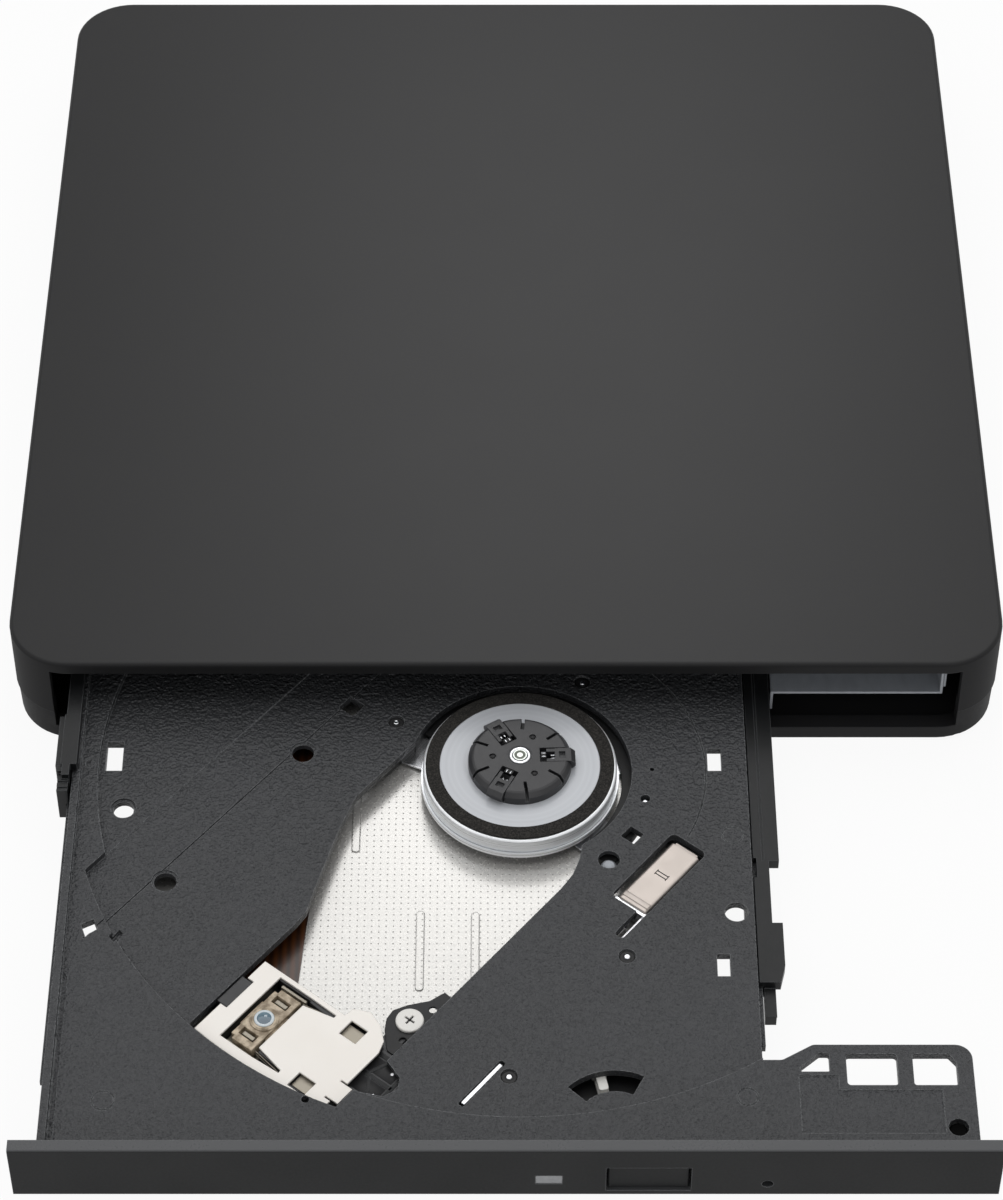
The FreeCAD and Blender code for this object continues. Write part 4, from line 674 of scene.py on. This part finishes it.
def make_motor_gap_shade():
    """Black plastic ledge between the motor bell and the edge of the tray, put there as painted shade in the
    gap.
    """
    inner, outer = ([on_hub(angle, radius, LEDGE_HEIGHT) for angle in LEDGE_ANGLES] for radius in LEDGE_RADII)
    count = len(inner)
    mesh = bpy.data.meshes.new("motor_gap_shade")
    mesh.from_pydata(inner + outer, [], [(i, count + i, count + i + 1, i + 1) for i in range(count - 1)])
    ledge = bpy.data.objects.new("motor_gap_shade", mesh)
    bpy.context.scene.collection.objects.link(ledge)
    deselect_all()
    ledge.select_set(True)
    bpy.context.view_layer.objects.active = ledge
    wall = ledge.modifiers.new("wall", "SOLIDIFY")
    wall.thickness = 0.5 * MM
    bpy.ops.object.modifier_apply(modifier=wall.name)
    settle(ledge, "motor_gap_shade", "tray_unit", FRAME_PLASTIC)


def make_lever_window_shade():
    """Dark plate of painted shade behind the lock lever, seen through its window."""
    seat = soft_block(in_mm(14.0, -100.3, 5.16), (19.0, 8.6, 0.2), edge=0.06, turn=0.0)
    settle(seat, "lever_window_shade", "tray_unit", CHIP_PLASTIC)


def make_slot_strip():
    """Bright edge of the steel arm that shows in the long slot."""
    strip = soft_block(across(45.6, 30.2, 8.3), (8.2, 0.62, 0.5), edge=0.1)
    settle(strip, "slot_strip", "tray_unit", BRIGHT_STEEL)


def make_lens_rim():
    """White rim round the lens, and the mottled seat under it."""
    rim = turned_collar(across(*LENS, 8.9), middle=1.16, half=0.25, height=0.26)
    settle(rim, "lens_rim", "lens_unit", LENS_RIM)
    seat = turned_collar(across(*LENS, 8.82), middle=1.6, half=0.24, height=0.2)
    settle(seat, "lens_seat", "lens_unit", HOLDER_MOULDING)


def make_lens_wires():
    """Ends of the four wires that carry the lens holder."""
    wires = [thin_wire(across(*start, z), across(*end, z), radius=0.07)
             for start, end in WIRE_ENDS for z in WIRE_HEIGHTS]
    settle_joined(wires, "lens_wires", "lens_unit", INSERT_METAL)


def make_hub_windows():
    """Dark wells of painted shade in the hub's windows and dimples, and the claws' bright springs in the
    windows.
    """
    shade_wells, coils = [], []
    for angle in WINDOW_ANGLES:
        turn = math.radians(angle)
        shade_wells.append(soft_block(on_hub(angle, 3.35, 12.06), (0.75, 1.25, 0.1), edge=0.03, turn=turn))
        for side in COIL_SIDES:
            offset = Vector((-math.sin(turn), math.cos(turn), 0.0)) * side * MM
            coils += [soft_block(on_hub(angle, radius, z) + offset, size, edge, turn)
                      for radius, z, size, edge in WINDOW_COILS]
    shade_wells += [stud(on_hub(angle, 3.9, 11.9), radius=0.3, height=0.2) for angle in DIMPLE_ANGLES]
    settle_joined(shade_wells, "hub_window_shade", "rotor", CHIP_PLASTIC)
    settle_joined(coils, "claw_springs", "rotor", SHAFT_STEEL)


def make_shaft_collar():
    """Bright collar round the end of the spindle shaft."""
    collar = turned_collar(on_hub(0.0, 0.0, 12.08), middle=1.3, half=0.22, height=0.3)
    settle(collar, "shaft_collar", "rotor", SHAFT_STEEL)


def make_can_marks():
    """Clinched joint of the motor can: a small I-shaped slit and the folded strip at its end."""
    u, v = CAN_JOINT
    bars = [soft_block(across(u + out, v + over, CAN_JOINT_HEIGHT), size, edge=0.02)
            for out, over, size in CAN_JOINT_BARS]
    settle_joined(bars, "can_joint", "tray_unit", CHIP_PLASTIC)
    strip = soft_block(across(7.6, 27.1, 8.08), (0.9, 4.4, 0.14), edge=0.06)
    settle(strip, "can_strip", "tray_unit", MOTOR_CAN)


def make_screw_ends():
    """Screw ends that show through the tray's small holes, four of them in dark wells of painted shade."""
    places = [across(*place, SCREW_END_HEIGHT) for place in SCREW_ENDS]
    shade_wells = [turned_collar(place, middle=0.78, half=0.34, height=0.2) for place in places]
    settle_joined(shade_wells, "screw_well_shade", "tray_unit", CHIP_PLASTIC)
    places.append(in_mm(19.9, -51.6, 7.6))
    ends = [stud(place, radius=0.4, height=0.36) for place in places]
    settle_joined(ends, "screw_ends", "tray_unit", SHAFT_STEEL)


def make_skew_screw():
    """Screw that sets the height of the main guide shaft's inner end, seen through the tray's round hole."""
    head = stud(in_mm(14.5, -62.7, 6.95), radius=1.1, height=0.3)
    settle(head, "skew_screw", "tray_unit", DRIVE_SHEET)


def make_screw_cross_shade():
    """Dark sheet of painted shade at the bottom of the cross recess in the pale screw."""
    bars = [soft_block(across(*PALE_SCREW, 7.93), size, edge=0.02)
            for size in ((1.5, 0.26, 0.06), (0.26, 1.5, 0.06))]
    settle_joined(bars, "screw_cross_shade", "pickup", CHIP_PLASTIC)


def make_wing_hole_shade():
    """Near-black disc in the round hole of the tray's wing: painted shade that makes the hole look dark."""
    hole_shade = stud(in_mm(60.1, -108.7, 8.3), radius=1.33, height=0.5)
    settle(hole_shade, "wing_hole_shade", "tray_unit", HOLE_SHADE_BLACK)


def make_rack_arm():
    """Sprung arm at the front of the rack bracket, with dark sheets of painted shade in the gaps between its
    bars, and its two pins.
    """
    bars = [soft_block(across(u, v, ARM_HEIGHT), (length, width, 0.2), edge=0.06, turn=TRAVERSE_TURN + lean)
            for u, v, length, width, lean in ARM_BARS]
    settle_joined(bars, "rack_arm", "pickup", RAIL_PLASTIC)
    gap_shades = [soft_block(across(u, 18.3, ARM_HEIGHT), (2.5, 4.3, 0.06), edge=0.02) for u in ARM_GAPS]
    settle_joined(gap_shades, "rack_gap_shade", "pickup", CHIP_PLASTIC)
    pins = [stud(across(55.9, 19.7, 7.66), radius=0.3, height=0.16),
            stud(across(51.6, 19.5, 7.66), radius=0.26, height=0.16)]
    settle_joined(pins, "rack_pins", "pickup", BRIGHT_STEEL)


make_motor_gap_shade()
make_lever_window_shade()
make_slot_strip()
make_lens_rim()
make_lens_wires()
make_hub_windows()
make_shaft_collar()
make_can_marks()
make_screw_ends()
make_skew_screw()
make_screw_cross_shade()
make_wing_hole_shade()
make_rack_arm()


# Floor, light and camera

FLOOR_SIZE = 6.0  # metres
FLOOR_WHITE_SHARE = 0.93  # the rest of the floor is lit, and takes the shadows
SKY_STRENGTH = 0.34
SOFTBOXES = {  # place, aim, width and height in metres, power in watts
    "top_softbox": ((0.0, 0.18, 0.95), (0.0, 0.05, 0.0), 1.5, 1.1, 6.0),
    "back_softbox": ((0.03, 0.85, 0.84), (0.0, 0.05, 0.0), 0.3, 0.34, 1.1),
    "left_fill": ((-0.9, -0.5, 0.5), (0.0, -0.05, 0.0), 0.6, 0.5, 0.7),
    "front_fill": ((0.35, -1.0, 0.45), (0.0, -0.05, 0.0), 0.7, 0.4, 1.0),
}
CAMERA_PLACE = (0.0, -0.39841, 0.43283)
CAMERA_TILT = 42.23  # degrees from straight down
CAMERA_SHIFT = -0.00375  # the photograph's frame is a little off the drive's middle
FOCAL_LENGTH = 114.93


def backdrop_rays(tree):
    """1 for rays that come from the camera, a reflection or a clear piece, 0 for the rest."""
    rays = tree.nodes.new("ShaderNodeLightPath").outputs
    seen = math_node(tree, "ADD", rays["Is Camera Ray"], rays["Is Glossy Ray"], clamp=True)
    return math_node(tree, "ADD", seen, rays["Is Transmission Ray"], clamp=True)


def mix_surfaces(tree, share, first, second, output):
    """Give an output node the first surface, and the second one in the given share."""
    mixed = tree.nodes.new("ShaderNodeMixShader")
    set_inputs(tree, mixed, Fac=share)
    tree.links.new(first, mixed.inputs[1])
    tree.links.new(second, mixed.inputs[2])
    tree.links.new(mixed.outputs["Shader"], tree.nodes[output].inputs["Surface"])


def floor_material():
    """Pale matt floor that the camera sees almost white."""
    material, tree, skin = new_material("pale_floor")
    set_inputs(tree, skin, Base_Color=(0.85, 0.85, 0.85, 1.0), Roughness=0.9, Specular_IOR_Level=0.0)
    glow = tree.nodes.new("ShaderNodeEmission")
    set_inputs(tree, glow, Color=WHITE, Strength=1.0)
    share = math_node(tree, "MULTIPLY", backdrop_rays(tree), FLOOR_WHITE_SHARE)
    mix_surfaces(tree, share, skin.outputs["BSDF"], glow.outputs["Emission"], "Material Output")
    return material


def make_floor():
    deselect_all()
    bpy.ops.mesh.primitive_plane_add(size=FLOOR_SIZE, location=(0.0, 0.0, 0.0))
    floor = bpy.context.active_object
    floor.name = "floor"
    floor.data.materials.append(floor_material())


def make_world():
    """Soft white light from all round, and a pure white background."""
    world = bpy.data.worlds.new("studio")
    bpy.context.scene.world = world
    world.use_nodes = True
    tree = world.node_tree
    plain = tree.nodes["Background"]
    set_inputs(tree, plain, Color=WHITE, Strength=SKY_STRENGTH)
    white = tree.nodes.new("ShaderNodeBackground")
    set_inputs(tree, white, Color=WHITE, Strength=1.0)
    mix_surfaces(tree, backdrop_rays(tree), plain.outputs["Background"], white.outputs["Background"],
                 "World Output")


def make_lights():
    """Soft rectangular lamps, each turned to its aim."""
    for name, (place, aim, width, height, power) in SOFTBOXES.items():
        lamp = bpy.data.lights.new(name, "AREA")
        lamp.shape = "RECTANGLE"
        lamp.size = width
        lamp.size_y = height
        lamp.energy = power
        holder = bpy.data.objects.new(name, lamp)
        bpy.context.scene.collection.objects.link(holder)
        holder.location = place
        holder.rotation_euler = (Vector(aim) - Vector(place)).to_track_quat("-Z", "Y").to_euler()


def make_camera():
    """Camera at the photograph's angle, with its upright frame."""
    eye = bpy.data.cameras.new("camera")
    eye.sensor_fit = "AUTO"
    eye.sensor_width = 36.0
    eye.lens = FOCAL_LENGTH
    eye.shift_x = CAMERA_SHIFT
    eye.clip_start = 0.01
    eye.clip_end = 20.0
    holder = bpy.data.objects.new("camera", eye)
    bpy.context.scene.collection.objects.link(holder)
    holder.location = CAMERA_PLACE
    holder.rotation_euler = (math.radians(CAMERA_TILT), 0.0, 0.0)
    bpy.context.scene.camera = holder


make_floor()
make_world()
make_lights()
make_camera()
bpy.context.scene.view_settings.view_transform = "Standard"
